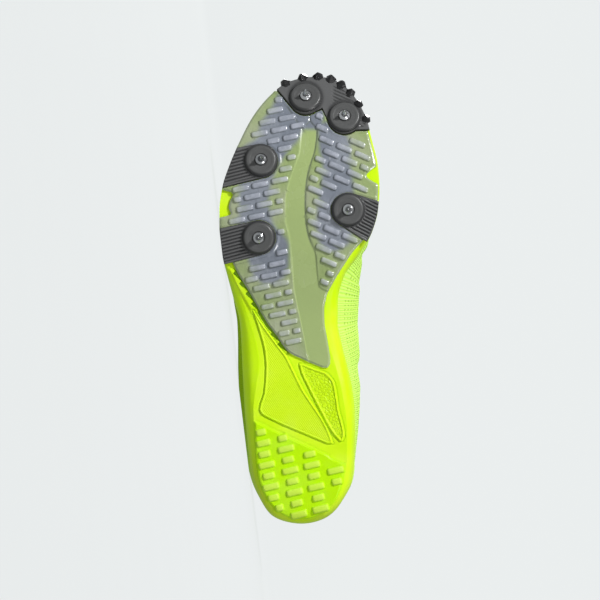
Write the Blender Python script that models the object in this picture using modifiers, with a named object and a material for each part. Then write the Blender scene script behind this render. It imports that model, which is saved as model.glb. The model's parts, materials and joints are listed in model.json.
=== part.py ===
"""A right-foot track spike shoe, put down on its outer side as it lies on a floor.

Every piece is modelled in the shoe's own frame, in metres: +X from heel to toe, +Y to the inner (medial)
side, +Z up from the ground under the heel. An empty then lays the whole shoe on its lateral side.
"""

import math

import bmesh
import bpy
import numpy as np
from mathutils import Matrix, Vector
from mathutils.geometry import convex_hull_2d

# Driving sizes of the last and the sole
SHOE_LENGTH = 0.280
BALL_WIDTH = 0.100
INSTEP_HEIGHT = 0.086
HEEL_STACK = 0.022
TOE_SPRING = 0.024
TOE_SPRING_START = 0.68

# Wall and layer thicknesses
UPPER_WALL = 0.0022
INSOLE_THICKNESS = 0.0035
TONGUE_THICKNESS = 0.0022
PLATE_THICKNESS = 0.0016
POD_THICKNESS = 0.0024
TREAD_THICKNESS = 0.0016
PANEL_STEP = 0.0008
PANEL_ROOT = 0.0010

# Clearances between pieces that touch
FIT_GAP = 0.0003
FEATHER_GAP = 0.0004
RIM_INSET = 0.0012
EDGE_INSET = 0.0006
INSOLE_CLEARANCE = 0.0013
INSOLE_TAPER = 0.0012
FLOOR_PRESS = 0.0004

# The sole's flat underside is shorter than its rim at both ends
HEEL_UNDERCUT = 0.0040
TOE_UNDERCUT = 0.0020

# Spikes, their bosses and the pods that carry them
POD_RADIUS = 0.0106
BOSS_RADIUS = 0.0102
BOSS_TOP_RADIUS = 0.0088
BOSS_HEIGHT = 0.0022
BOSS_ROOT = 0.0012
WELL_FLOOR = 0.0005
SPIKE_SHANK_RADIUS = 0.0030
SPIKE_COLLAR_RADIUS = 0.0034
SPIKE_COLLAR_HEIGHT = 0.0011
SPIKE_CONE_RADIUS = 0.0023
SPIKE_TIP_RADIUS = 0.0004
SPIKE_LENGTH = 0.0075
TURNED_STEPS = 14
POD_OVERHANG = 0.0040
POD_SHEET_MARGIN = 0.05
PAST_TOE = 0.0100
TOE_POD_REACH = 0.75
TOE_POD_CORNER_RUN = 0.0120
BEYOND_EDGES = 0.6

# Lugs of the plate and the heel
LUG_LENGTH = 0.0096
LUG_WIDTH = 0.0032
LUG_HEIGHT = 0.0013
LUG_ROOT = 0.0005
LUG_TAPER = 0.0004
LUG_ALONG_PITCH = 0.0124
LUG_ACROSS_PITCH = 0.0062
LUG_SHORTEST = 0.0040
LUG_MARGIN = 0.0016
LUG_FIELD_START = 0.66
LUG_FIELD_FRONT = 0.985
LATERAL_LUG_TURN = math.radians(12)
MEDIAL_LUG_TURN = math.radians(-23)
HEEL_LUG_LENGTHS = (0.0088, 0.0058)
HEEL_COLUMN_PITCH = 0.0140
HEEL_ROW_PITCH = 0.0067
HEEL_LUG_TURN = math.radians(13)
HEEL_COLUMN_DRIFT = 0.20
HEEL_COLUMN_START = 0.0020

# Teeth round the toe
TOOTH_COUNT = 8
TOOTH_RADIUS = 0.0029
TOOTH_TIP_RADIUS = 0.0012
TOOTH_HEIGHT = 0.0036
TOOTH_FIRST = 0.985
TOOTH_LAST = 0.903

# Lacing
EYELET_PAIRS = 6
EYELET_RADIUS = 0.0021
EYELET_FROM_EDGE = 0.0070
EYELET_FIRST = 0.770
EYELET_LAST = 0.430
LACE_WIDTH = 0.0055
LACE_THICKNESS = 0.0012
LACE_LIFT = 0.0022
LACE_ARCH = 0.0080
LACE_END_WIDTH = 0.0036

# Mesh fineness
SOLE_STATIONS = 40
UPPER_ROWS = (0.0, 0.08, 0.17, 0.28, 0.40, 0.52, 0.64, 0.77, 0.90, 1.0)
SLAB_STATIONS = 34
LACE_STEPS = 6

# Shares of SHOE_LENGTH, then of BALL_WIDTH: the edges of the flat underside and of the rim above it
SOLE_PLAN = (
    ("along", "under_lateral", "under_medial", "rim_lateral", "rim_medial"),
    (0.00, 0.010, 0.010, 0.010, 0.010),
    (0.02, -0.145, 0.160, -0.180, 0.190),
    (0.05, -0.215, 0.235, -0.240, 0.262),
    (0.10, -0.264, 0.278, -0.296, 0.326),
    (0.15, -0.280, 0.292, -0.318, 0.340),
    (0.20, -0.285, 0.292, -0.332, 0.346),
    (0.25, -0.288, 0.280, -0.345, 0.343),
    (0.30, -0.272, 0.255, -0.353, 0.328),
    (0.35, -0.252, 0.218, -0.360, 0.298),
    (0.40, -0.272, 0.176, -0.366, 0.262),
    (0.45, -0.315, 0.156, -0.376, 0.236),
    (0.50, -0.362, 0.164, -0.412, 0.238),
    (0.55, -0.424, 0.232, -0.450, 0.272),
    (0.60, -0.481, 0.318, -0.484, 0.366),
    (0.65, -0.499, 0.428, -0.500, 0.448),
    (0.70, -0.499, 0.476, -0.500, 0.486),
    (0.75, -0.481, 0.486, -0.483, 0.496),
    (0.80, -0.426, 0.475, -0.438, 0.486),
    (0.85, -0.362, 0.444, -0.378, 0.455),
    (0.90, -0.292, 0.405, -0.308, 0.418),
    (0.95, -0.188, 0.332, -0.204, 0.346),
    (0.98, -0.090, 0.255, -0.104, 0.268),
    (1.00, 0.110, 0.110, 0.110, 0.110),
)

# Shares of SHOE_LENGTH, then of HEEL_STACK: heights of the underside and of the rim, before the toe spring
SOLE_PROFILE = (
    ("along", "under", "rim"),
    (0.00, 0.36, 1.09),
    (0.04, 0.20, 1.05),
    (0.10, 0.16, 1.02),
    (0.20, 0.16, 0.98),
    (0.30, 0.25, 0.93),
    (0.38, 0.36, 0.89),
    (0.46, 0.39, 0.84),
    (0.54, 0.28, 0.77),
    (0.62, 0.17, 0.70),
    (0.70, 0.145, 0.655),
    (0.80, 0.145, 0.64),
    (0.90, 0.145, 0.60),
    (1.00, 0.190, 0.52),
)

# The sidewall between underside (0) and rim (1): shares of its height and of its flare
SIDEWALL = (
    ("up", "out"),
    (0.00, 0.00),
    (0.12, 0.45),
    (0.35, 0.78),
    (0.62, 0.95),
    (0.82, 1.00),
    (1.00, 1.00),
)

# The upper's columns, from the feather line to the collar and throat edge. Shares of SHOE_LENGTH (edge_along),
# BALL_WIDTH (edge sides, belly, shoulder, overhang) and INSTEP_HEIGHT (edge heights, rise, fall)
UPPER_COLUMNS = (
    (
        "along",
        "edge_along",
        "edge_lateral",
        "edge_medial",
        "height_lateral",
        "height_medial",
        "belly_lateral",
        "belly_medial",
        "overhang_lateral",
        "overhang_medial",
        "rise",
        "shoulder",
        "fall",
    ),
    (0.00, 0.012, 0.010, 0.010, 1.000, 1.000, 0.040, 0.040, 0.006, 0.006, 0.26, 0.030, 0.24),
    (0.02, 0.016, -0.070, 0.090, 0.985, 0.990, 0.030, 0.030, 0.008, 0.006, 0.25, 0.032, 0.24),
    (0.05, 0.042, -0.160, 0.180, 0.900, 0.915, 0.020, 0.030, 0.010, 0.006, 0.24, 0.036, 0.20),
    (0.10, 0.096, -0.232, 0.252, 0.795, 0.825, 0.012, 0.042, 0.018, 0.006, 0.22, 0.042, 0.17),
    (0.16, 0.160, -0.272, 0.288, 0.722, 0.775, 0.010, 0.052, 0.029, 0.003, 0.22, 0.046, 0.15),
    (0.22, 0.225, -0.292, 0.304, 0.700, 0.765, 0.014, 0.078, 0.030, 0.001, 0.23, 0.050, 0.15),
    (0.28, 0.290, -0.288, 0.302, 0.760, 0.820, 0.022, 0.112, 0.037, 0.000, 0.24, 0.060, 0.16),
    (0.34, 0.355, -0.256, 0.276, 0.880, 0.925, 0.028, 0.150, 0.035, 0.000, 0.26, 0.090, 0.15),
    (0.40, 0.420, -0.200, 0.222, 0.972, 0.992, 0.034, 0.226, 0.028, 0.000, 0.28, 0.140, 0.09),
    (0.46, 0.475, -0.172, 0.198, 0.918, 0.925, 0.036, 0.254, 0.021, 0.000, 0.28, 0.160, 0.045),
    (0.52, 0.525, -0.158, 0.188, 0.852, 0.857, 0.030, 0.268, 0.006, 0.000, 0.27, 0.165, 0.040),
    (0.57, 0.560, -0.150, 0.184, 0.808, 0.812, 0.012, 0.220, 0.000, 0.000, 0.26, 0.168, 0.040),
    (0.61, 0.586, -0.143, 0.179, 0.770, 0.774, 0.004, 0.100, 0.000, 0.000, 0.26, 0.170, 0.040),
    (0.68, 0.630, -0.130, 0.168, 0.712, 0.715, 0.000, 0.008, 0.000, 0.000, 0.25, 0.175, 0.035),
    (0.76, 0.672, -0.108, 0.148, 0.664, 0.665, 0.000, 0.004, 0.000, 0.000, 0.24, 0.180, 0.028),
    (0.84, 0.698, -0.074, 0.116, 0.640, 0.640, 0.002, 0.004, 0.000, 0.000, 0.23, 0.190, 0.020),
    (0.92, 0.712, -0.034, 0.076, 0.630, 0.630, 0.004, 0.006, 0.000, 0.000, 0.19, 0.230, 0.014),
    (1.00, 0.718, 0.022, 0.022, 0.628, 0.628, 0.010, 0.010, 0.000, 0.000, 0.145, 0.330, 0.010),
)
OVERHANG_PEAK = 0.10

# The clear plate: shares of SHOE_LENGTH and BALL_WIDTH. A side beyond the underside is trimmed to it
PLATE_PLAN = (
    ("along", "lateral", "medial"),
    (0.350, 0.140, 0.172),
    (0.360, 0.070, 0.187),
    (0.370, 0.008, 0.187),
    (0.380, -0.052, 0.184),
    (0.390, -0.085, 0.180),
    (0.420, -0.143, 0.166),
    (0.450, -0.205, 0.152),
    (0.480, -0.255, 0.150),
    (0.520, -0.317, 0.180),
    (0.560, -0.386, 0.240),
    (0.600, -0.445, 0.317),
    (0.640, -0.600, 0.420),
    (0.672, -0.600, 0.500),
    (0.690, -0.432, 0.600),
    (0.735, -0.425, 0.600),
    (0.754, -0.600, 0.490),
    (0.775, -0.600, 0.412),
    (0.792, -0.600, 0.460),
    (0.812, -0.600, 0.600),
    (1.000, -0.600, 0.600),
)

# The smooth channel between the plate's two fields of lugs, in the same shares
CHANNEL_PLAN = (
    ("along", "lateral", "medial"),
    (0.35, 0.060, 0.600),
    (0.45, 0.005, 0.600),
    (0.50, -0.025, 0.400),
    (0.53, -0.040, 0.120),
    (0.56, -0.046, 0.108),
    (0.60, -0.056, 0.098),
    (0.64, -0.068, 0.055),
    (0.68, -0.092, 0.035),
    (0.72, -0.092, 0.032),
    (0.76, -0.068, 0.040),
    (0.80, -0.030, 0.065),
    (0.83, -0.003, 0.092),
    (0.875, 0.010, 0.106),
    (0.90, 0.060, 0.062),
    (1.00, 0.060, 0.062),
)

# The heel tread and the two raised panels of the arch, in the same shares
TREAD_PLAN = (
    ("along", "lateral", "medial"),
    (0.000, -0.600, 0.600),
    (0.138, -0.600, 0.600),
    (0.142, -0.600, 0.272),
    (0.188, -0.600, 0.040),
    (0.231, -0.600, -0.262),
)
ARCH_PANEL_PLAN = (
    ("along", "lateral", "medial"),
    (0.182, 0.168, 0.205),
    (0.201, 0.042, 0.187),
    (0.230, -0.148, 0.150),
    (0.250, -0.245, 0.115),
    (0.258, -0.252, 0.100),
    (0.300, -0.222, 0.022),
    (0.350, -0.214, -0.048),
    (0.375, -0.218, -0.084),
    (0.400, -0.230, -0.136),
    (0.440, -0.262, -0.218),
    (0.478, -0.298, -0.288),
)
GRIP_PANEL_PLAN = (
    ("along", "lateral", "medial"),
    (0.188, 0.248, 0.262),
    (0.200, 0.215, 0.274),
    (0.260, 0.118, 0.238),
    (0.315, 0.040, 0.212),
    (0.338, 0.010, 0.160),
    (0.348, 0.002, 0.085),
    (0.358, -0.006, 0.018),
)

# Spikes: shares of SHOE_LENGTH and BALL_WIDTH, and the stretch of sole edge that each side pod reaches
SPIKES = (
    ("name", "along", "side"),
    ("spike_toe_lateral", 0.948, 0.035),
    ("spike_toe_medial", 0.904, 0.277),
    ("spike_front_lateral", 0.807, -0.243),
    ("spike_rear_lateral", 0.638, -0.256),
    ("spike_medial", 0.699, 0.298),
)
SIDE_PODS = (
    ("name", "spike", "edge_back", "edge_front", "side_sign"),
    ("pod_front_lateral", "spike_front_lateral", 0.744, 0.834, -1),
    ("pod_rear_lateral", "spike_rear_lateral", 0.577, 0.655, -1),
    ("pod_medial", "spike_medial", 0.627, 0.714, 1),
)
# The toe pod's rear edge, between the sole's two sides: shares of SHOE_LENGTH and BALL_WIDTH
TOE_POD_LATERAL_CORNER = (0.967, -0.145)
TOE_POD_MEDIAL_CORNER = (0.876, 0.440)
TOE_POD_SADDLE = (0.924, 0.137)

# The tongue: shares of SHOE_LENGTH, INSTEP_HEIGHT (height, droop) and BALL_WIDTH (half_width)
TONGUE_PLAN = (
    ("along", "height", "half_width", "droop"),
    (0.735, 0.593, 0.080, 0.006),
    (0.710, 0.601, 0.120, 0.014),
    (0.680, 0.624, 0.150, 0.036),
    (0.640, 0.678, 0.180, 0.060),
    (0.580, 0.774, 0.205, 0.086),
    (0.520, 0.862, 0.225, 0.104),
    (0.460, 0.940, 0.235, 0.120),
    (0.420, 1.000, 0.215, 0.112),
    (0.385, 1.050, 0.195, 0.096),
    (0.368, 1.068, 0.150, 0.070),
)
TONGUE_CENTRE = 0.014

MATERIALS = {
    # name: base colour, roughness, metallic, density in kg per cubic metre
    "foam": ((0.56, 0.90, 0.02, 1.0), 0.50, 0.0, 1200),
    "tread_rubber": ((0.50, 0.86, 0.01, 1.0), 0.45, 0.0, 1200),
    "clear_plate": ((0.42, 0.46, 0.40, 1.0), 0.25, 0.0, 1100),
    "hard_black": ((0.045, 0.047, 0.048, 1.0), 0.38, 0.0, 1100),
    "steel": ((0.55, 0.56, 0.58, 1.0), 0.20, 1.0, 7850),
    "knit": ((0.60, 0.95, 0.08, 1.0), 0.80, 0.0, 300),
    "lining": ((0.10, 0.11, 0.11, 1.0), 0.90, 0.0, 300),
    "lace": ((0.62, 0.92, 0.12, 1.0), 0.85, 0.0, 300),
}


def smooth_curve(x, y, at):
    """A monotone cubic through the points (x, y), read at each value of at."""
    step = np.diff(x)
    slope = np.diff(y) / step
    tangent = np.zeros(len(y))
    tangent[0], tangent[-1] = slope[0], slope[-1]
    before, after = slope[:-1], slope[1:]
    turning = before * after <= 0
    weight_a, weight_b = 2 * step[1:] + step[:-1], step[1:] + 2 * step[:-1]
    safe_before = np.where(turning, 1.0, before)
    safe_after = np.where(turning, 1.0, after)
    mean = (weight_a + weight_b) / (weight_a / safe_before + weight_b / safe_after)
    tangent[1:-1] = np.where(turning, 0.0, mean)
    k = np.clip(np.searchsorted(x, at) - 1, 0, len(step) - 1)
    h = step[k]
    s = np.clip((at - x[k]) / h, 0.0, 1.0)
    return (
        (1 + 2 * s) * (1 - s) ** 2 * y[k]
        + s * (1 - s) ** 2 * h * tangent[k]
        + s**2 * (3 - 2 * s) * y[k + 1]
        - s**2 * (1 - s) * h * tangent[k + 1]
    )


def end_angle(along):
    """Heel-to-toe share as an angle from 0 to pi, so that a curve read against it has round ends."""
    return np.arccos(1 - 2 * np.clip(along, 0.0, 1.0))


def read(table, column, along, round_ends=False):
    """One column of a table at the given shares of the shoe's length."""
    index = table[0].index(column)
    rows = np.array(table[1:], float)
    at = np.asarray(along, float)
    if round_ends:
        return smooth_curve(end_angle(rows[:, 0]), rows[:, index], end_angle(at))
    return smooth_curve(rows[:, 0], rows[:, index], at)


def toe_rise(along):
    """Height that the toe spring adds at a share of the length."""
    past = np.clip((along - TOE_SPRING_START) / (1 - TOE_SPRING_START), 0.0, None)
    return TOE_SPRING * past**2


def under_height(x):
    """Height of the foam's underside."""
    along = np.clip(np.asarray(x, float) / SHOE_LENGTH, 0.0, 1.0)
    return HEEL_STACK * read(SOLE_PROFILE, "under", along) + toe_rise(along)


def rim_height(x):
    """Height of the foam's upper rim, the feather line."""
    along = np.clip(np.asarray(x, float) / SHOE_LENGTH, 0.0, 1.0)
    return HEEL_STACK * read(SOLE_PROFILE, "rim", along) + toe_rise(along)


def under_slope(x):
    """Pitch of the underside at x, in radians, positive where it rises to the toe."""
    reach = 0.004
    return math.atan2(float(under_height(x + reach) - under_height(x - reach)), 2 * reach)


def under_edges(x):
    """Y of the lateral and medial edges of the flat underside at x."""
    flat_length = SHOE_LENGTH - HEEL_UNDERCUT - TOE_UNDERCUT
    along = np.clip((np.asarray(x, float) - HEEL_UNDERCUT) / flat_length, 0.0, 1.0)
    return (
        BALL_WIDTH * read(SOLE_PLAN, "under_lateral", along, True),
        BALL_WIDTH * read(SOLE_PLAN, "under_medial", along, True),
    )


def even_stations(count):
    """Shares of length that stand evenly along the sole's outline, so that both ends are as fine as the sides."""
    angle = np.linspace(0.0, math.pi, 721)
    along = (1 - np.cos(angle)) / 2
    width = read(SOLE_PLAN, "rim_medial", along, True) - read(SOLE_PLAN, "rim_lateral", along, True)
    run = np.hypot(np.diff(along) * SHOE_LENGTH, np.diff(width) * BALL_WIDTH / 2)
    travelled = np.concatenate([[0.0], np.cumsum(run)])
    return np.interp(np.linspace(0.0, travelled[-1], count + 1), travelled, along)


def around(lateral, medial):
    """One closed ring: heel to toe on the lateral side, then back on the medial side."""
    return np.concatenate([lateral, medial[::-1]])


def outline_ring(along, level, start, end, height_of):
    """The sole's outline as a ring of points. level is under or rim."""
    x = start + (end - start) * along
    lateral = BALL_WIDTH * read(SOLE_PLAN, level + "_lateral", along, True)
    medial = BALL_WIDTH * read(SOLE_PLAN, level + "_medial", along, True)
    z = height_of(x)
    return around(np.column_stack([x, lateral, z]), np.column_stack([x, medial, z]))


def outward(ring):
    """Unit normals of a ring in plan, pointing away from its inside. A repeated point shares one normal."""
    single = np.linalg.norm(ring - np.roll(ring, 1, axis=0), axis=1) > 1e-7
    path = ring[single]
    run = np.roll(path, -1, axis=0)[:, :2] - np.roll(path, 1, axis=0)[:, :2]
    normal = np.column_stack([run[:, 1], -run[:, 0]])
    normal /= np.linalg.norm(normal, axis=1)[:, None]
    if ((path[:, :2] - path[:, :2].mean(axis=0)) * normal).sum() < 0:
        normal = -normal
    spread = normal[np.cumsum(single) - 1]
    return np.column_stack([spread, np.zeros(len(ring))])


def material(name):
    """The Principled material of that name, made once."""
    found = bpy.data.materials.get(name)
    if found:
        return found
    colour, roughness, metallic, _ = MATERIALS[name]
    made = bpy.data.materials.new(name)
    made.use_nodes = True
    shader = made.node_tree.nodes["Principled BSDF"]
    shader.inputs["Base Color"].default_value = colour
    shader.inputs["Roughness"].default_value = roughness
    shader.inputs["Metallic"].default_value = metallic
    made.diffuse_color = colour
    return made


def add_object(name, mesh, finish, collection="track_spike_shoe"):
    """Links a mesh as an object, with its material. A finish of None makes it a cutter."""
    group = bpy.data.collections.get(collection)
    if group is None:
        group = bpy.data.collections.new(collection)
        bpy.context.scene.collection.children.link(group)
    made = bpy.data.objects.new(name, mesh)
    group.objects.link(made)
    if finish is None:
        made.hide_render = True
        made.display_type = "WIRE"
    else:
        made.data.materials.append(material(finish))
    return made


def add_helper(name, mesh):
    """A cutter or a shape that is joined into a piece."""
    return add_object(name, mesh, None, "cutters")


def tidy_mesh(name, points, faces):
    """A mesh with its doubles merged and its faces pointing out."""
    mesh = bpy.data.meshes.new(name)
    mesh.from_pydata([tuple(map(float, p)) for p in points], [], [tuple(map(int, f)) for f in faces])
    work = bmesh.new()
    work.from_mesh(mesh)
    bmesh.ops.remove_doubles(work, verts=work.verts, dist=1e-6)
    bmesh.ops.dissolve_degenerate(work, edges=work.edges, dist=1e-6)
    bmesh.ops.recalc_face_normals(work, faces=work.faces)
    work.to_mesh(mesh)
    work.free()
    mesh.validate()
    return mesh


def ring_stack(name, rings):
    """A closed body through a stack of rings, with ladder caps from side to side at its two ends."""
    rings = np.asarray(rings, float)
    levels, count = rings.shape[:2]
    half = count // 2
    faces = []
    for level in range(levels - 1):
        low, high = level * count, (level + 1) * count
        for i in range(count):
            j = (i + 1) % count
            faces.append((low + i, low + j, high + j, high + i))
    for base in (0, (levels - 1) * count):
        for i in range(half - 1):
            faces.append((base + i, base + i + 1, base + count - 2 - i, base + count - 1 - i))
    return tidy_mesh(name, rings.reshape(-1, 3), faces)


def slab_mesh(name, plan, top_drop, bottom_drop, inset=EDGE_INSET):
    """A sheet that follows the underside: it lies between two drops below the foam, inside a plan's two sides."""
    first, last = plan[1][0] * SHOE_LENGTH, plan[-1][0] * SHOE_LENGTH
    first = max(first, HEEL_UNDERCUT + inset)
    last = min(last, SHOE_LENGTH - TOE_UNDERCUT - inset)
    count = max(10, round(SLAB_STATIONS * (last - first) / (0.6 * SHOE_LENGTH)))
    ends_round = (1 - np.cos(np.linspace(0, math.pi, count + 1))) / 2
    share = 0.6 * np.linspace(0, 1, count + 1) + 0.4 * ends_round
    x = first + (last - first) * share
    lateral_edge, medial_edge = under_edges(x)
    lateral = np.maximum(BALL_WIDTH * read(plan, "lateral", x / SHOE_LENGTH), lateral_edge + inset)
    medial = np.minimum(BALL_WIDTH * read(plan, "medial", x / SHOE_LENGTH), medial_edge - inset)
    medial = np.maximum(medial, lateral + 0.0002)
    under = under_height(x)
    rings = []
    for drop in (bottom_drop, top_drop):
        z = under - drop
        rings.append(around(np.column_stack([x, lateral, z]), np.column_stack([x, medial, z])))
    return ring_stack(name, rings)


def prism_mesh(name, outline, low=-0.05, high=0.10):
    """An upright prism on a plan outline."""
    count = len(outline)
    points = [(x, y, z) for z in (low, high) for x, y in outline]
    sides = [(i, (i + 1) % count, count + (i + 1) % count, count + i) for i in range(count)]
    return tidy_mesh(name, points, [*sides, tuple(range(count)), tuple(range(count, 2 * count))])


def boolean(target, other, operation):
    """Adds an exact Boolean modifier."""
    modifier = target.modifiers.new(operation.lower() + "_" + other.name, "BOOLEAN")
    modifier.operation = operation
    modifier.object = other
    modifier.solver = "EXACT"


def turned_object(name, profile, finish):
    """A turned body: a profile of (radius, height) points, from its top down its outer side, spun about Z."""
    mesh = bpy.data.meshes.new(name)
    edges = [(i, i + 1) for i in range(len(profile) - 1)]
    mesh.from_pydata([(radius, 0.0, height) for radius, height in profile], edges, [])
    made = add_helper(name, mesh) if finish is None else add_object(name, mesh, finish)
    screw = made.modifiers.new("turn", "SCREW")
    screw.steps = screw.render_steps = TURNED_STEPS
    screw.use_merge_vertices = True
    screw.merge_threshold = 1e-5
    screw.use_normal_calculate = True
    screw.use_normal_flip = True
    return made


def place_under(made, x, y, drop):
    """Stands an object on the underside at (x, y), its +Z pointing down out of the sole."""
    pitch = under_slope(x)
    outward_normal = Vector((math.sin(pitch), 0.0, -math.cos(pitch)))
    turn = Vector((0, 0, 1)).rotation_difference(outward_normal)
    made.rotation_mode = "QUATERNION"
    made.rotation_quaternion = turn
    made.location = Vector((x, y, float(under_height(x)))) + outward_normal * drop


def spike_place(name):
    """X and Y of a spike."""
    row = next(r for r in SPIKES[1:] if r[0] == name)
    return row[1] * SHOE_LENGTH, row[2] * BALL_WIDTH


def arc(centre, radius, start, end, steps):
    """Points of an arc in plan, angles in degrees from the toe direction towards the medial side."""
    angles = np.radians(np.linspace(start, end, steps))
    return [(centre[0] + radius * math.cos(a), centre[1] + radius * math.sin(a)) for a in angles]


def side_pod_outline(spike, edge_back, edge_front, sign, grow=0.0):
    """A pod in plan: the round seat of its spike, drawn out to a stretch of the sole's edge."""
    points = arc(spike_place(spike), POD_RADIUS + grow, 0, 345, 24)
    for share, step in ((edge_back, -grow), (edge_front, grow)):
        x = share * SHOE_LENGTH + step
        edge = float(under_edges(x)[0 if sign < 0 else 1])
        points.append((x, edge + sign * POD_OVERHANG))
    return [points[i] for i in convex_hull_2d([Vector(p) for p in points])]


def toe_pod_outline(grow=0.0):
    """The toe pod in plan: all the toe ahead of a rear edge that runs round its two spike seats."""
    radius = POD_RADIUS + grow
    past_toe = SHOE_LENGTH + PAST_TOE
    side = TOE_POD_REACH * BALL_WIDTH
    lateral = (TOE_POD_LATERAL_CORNER[0] * SHOE_LENGTH - grow, TOE_POD_LATERAL_CORNER[1] * BALL_WIDTH)
    medial = (TOE_POD_MEDIAL_CORNER[0] * SHOE_LENGTH - grow, TOE_POD_MEDIAL_CORNER[1] * BALL_WIDTH)
    saddle = (TOE_POD_SADDLE[0] * SHOE_LENGTH - grow, TOE_POD_SADDLE[1] * BALL_WIDTH)
    return [
        (past_toe, side),
        (past_toe, -side),
        (lateral[0] + TOE_POD_CORNER_RUN, -side),
        lateral,
        *arc(spike_place("spike_toe_lateral"), radius, 235, 142, 9),
        saddle,
        *arc(spike_place("spike_toe_medial"), radius, 262, 140, 11),
        medial,
        (medial[0], side),
    ]


def far_from_pods(x, y, margin):
    """True where a point is clear of every pod."""
    toe = Vector((x, y))
    for _, spike, back, front, sign in SIDE_PODS[1:]:
        if inside_polygon(toe, side_pod_outline(spike, back, front, sign, margin)):
            return False
    return not inside_polygon(toe, toe_pod_outline(margin))


def inside_polygon(point, outline):
    """Even-odd test of a point in a plan outline."""
    inside = False
    for (xa, ya), (xb, yb) in zip(outline, outline[1:] + outline[:1]):
        if (ya > point.y) != (yb > point.y):
            if point.x < (xb - xa) * (point.y - ya) / (yb - ya) + xa:
                inside = not inside
    return inside


def lug_run(centre, turn, length, allowed):
    """The longest stretch of a lug's line that lies on allowed ground, as its two ends, or None."""
    steps = 13
    direction = Vector((math.sin(turn), math.cos(turn)))
    places = [centre + direction * length * (i / (steps - 1) - 0.5) for i in range(steps)]
    best, start = None, None
    for i, place in enumerate([*places, None]):
        fits = place is not None and allowed(place.x, place.y)
        if fits and start is None:
            start = i
        if not fits and start is not None:
            if best is None or i - 1 - start > best[1] - best[0]:
                best = (start, i - 1)
            start = None
    if best is None or (best[1] - best[0]) * length / (steps - 1) < LUG_SHORTEST:
        return None
    return places[best[0]], places[best[1]]


def lugs_mesh(name, runs, drop):
    """Tapered bars under the sole, one for each run of two plan points, rooted above a drop below the foam."""
    points, faces = [], []
    for a, b in runs:
        along = (b - a).normalized()
        across = Vector((along.y, -along.x))
        for depth, taper in ((drop - LUG_ROOT, 0.0), (drop + LUG_HEIGHT, LUG_TAPER)):
            for end, way in ((a, -1), (b, 1)):
                for side in (-way, way):
                    spot = end - along * way * taper + across * side * (LUG_WIDTH / 2 - taper)
                    pitch = under_slope(spot.x)
                    height = float(under_height(spot.x))
                    points.append((spot.x + depth * math.sin(pitch), spot.y, height - depth * math.cos(pitch)))
        n = len(points) - 8
        faces += [
            (n, n + 1, n + 2, n + 3),
            (n + 4, n + 7, n + 6, n + 5),
            *[(n + i, n + 4 + i, n + 4 + (i + 1) % 4, n + (i + 1) % 4) for i in range(4)],
        ]
    return tidy_mesh(name, points, faces)


def plate_lug_runs():
    """The plate's two fields of lugs, laid like bricks on either side of the smooth channel."""
    runs = []
    for field, turn in (("lateral", LATERAL_LUG_TURN), ("medial", MEDIAL_LUG_TURN)):

        def allowed(x, y, field=field):
            along = x / SHOE_LENGTH
            if not PLATE_PLAN[1][0] < along < LUG_FIELD_FRONT:
                return False
            edge_lateral, edge_medial = under_edges(x)
            low = max(float(edge_lateral), BALL_WIDTH * float(read(PLATE_PLAN, "lateral", along)))
            high = min(float(edge_medial), BALL_WIDTH * float(read(PLATE_PLAN, "medial", along)))
            if not low + EDGE_INSET + LUG_MARGIN < y < high - EDGE_INSET - LUG_MARGIN:
                return False
            channel = BALL_WIDTH * float(read(CHANNEL_PLAN, field, along))
            on_side = y < channel - LUG_MARGIN if field == "lateral" else y > channel + LUG_MARGIN
            return on_side and far_from_pods(x, y, LUG_MARGIN + FIT_GAP)

        along_bar = Vector((math.sin(turn), math.cos(turn)))
        across_bar = Vector((math.cos(turn), -math.sin(turn)))
        start = Vector((LUG_FIELD_START * SHOE_LENGTH, 0.0))
        for row in range(-18, 19):
            for place in range(-8, 9):
                shift = (place + 0.5 * (row % 2)) * LUG_ALONG_PITCH
                centre = start + along_bar * shift + across_bar * row * LUG_ACROSS_PITCH
                run = lug_run(centre, turn, LUG_LENGTH, allowed)
                if run:
                    runs.append(run)
    return runs


def tread_lug_runs():
    """The heel's lugs: drifting columns of long and short bars."""

    def allowed(x, y):
        along = x / SHOE_LENGTH
        if not HEEL_UNDERCUT + EDGE_INSET + LUG_MARGIN < x < TREAD_PLAN[-1][0] * SHOE_LENGTH:
            return False
        edge_lateral, edge_medial = under_edges(x)
        low = float(edge_lateral) + EDGE_INSET + LUG_MARGIN
        high = min(float(edge_medial), BALL_WIDTH * float(read(TREAD_PLAN, "medial", along)))
        return low < y < high - EDGE_INSET - LUG_MARGIN

    front = TREAD_PLAN[-1][0] * SHOE_LENGTH
    runs = []
    for column in range(-4, 4):
        for row in range(12):
            x = front - (row + 0.5 * (column % 2)) * HEEL_ROW_PITCH
            y = HEEL_COLUMN_START + column * HEEL_COLUMN_PITCH + HEEL_COLUMN_DRIFT * (front - x)
            run = lug_run(Vector((x, y)), HEEL_LUG_TURN, HEEL_LUG_LENGTHS[row % 2], allowed)
            if run:
                runs.append(run)
    return runs


def make_midsole():
    """The foam: its flared sidewall, its arched underside and the two raised panels of its arch."""
    along = even_stations(SOLE_STATIONS)
    under = outline_ring(along, "under", HEEL_UNDERCUT, SHOE_LENGTH - TOE_UNDERCUT, under_height)
    rim = outline_ring(along, "rim", 0.0, SHOE_LENGTH, rim_height)
    rings = []
    for up, out in SIDEWALL[1:]:
        ring = under + (rim - under) * out
        ring[:, 2] = under[:, 2] + (rim[:, 2] - under[:, 2]) * up
        rings.append(ring)
    midsole = add_object("midsole", ring_stack("midsole", rings), "foam")
    for name, plan in (("arch_panel", ARCH_PANEL_PLAN), ("grip_panel", GRIP_PANEL_PLAN)):
        panel = add_helper(name, slab_mesh(name, plan, -PANEL_ROOT, PANEL_STEP))
        boolean(midsole, panel, "UNION")
    return midsole


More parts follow.
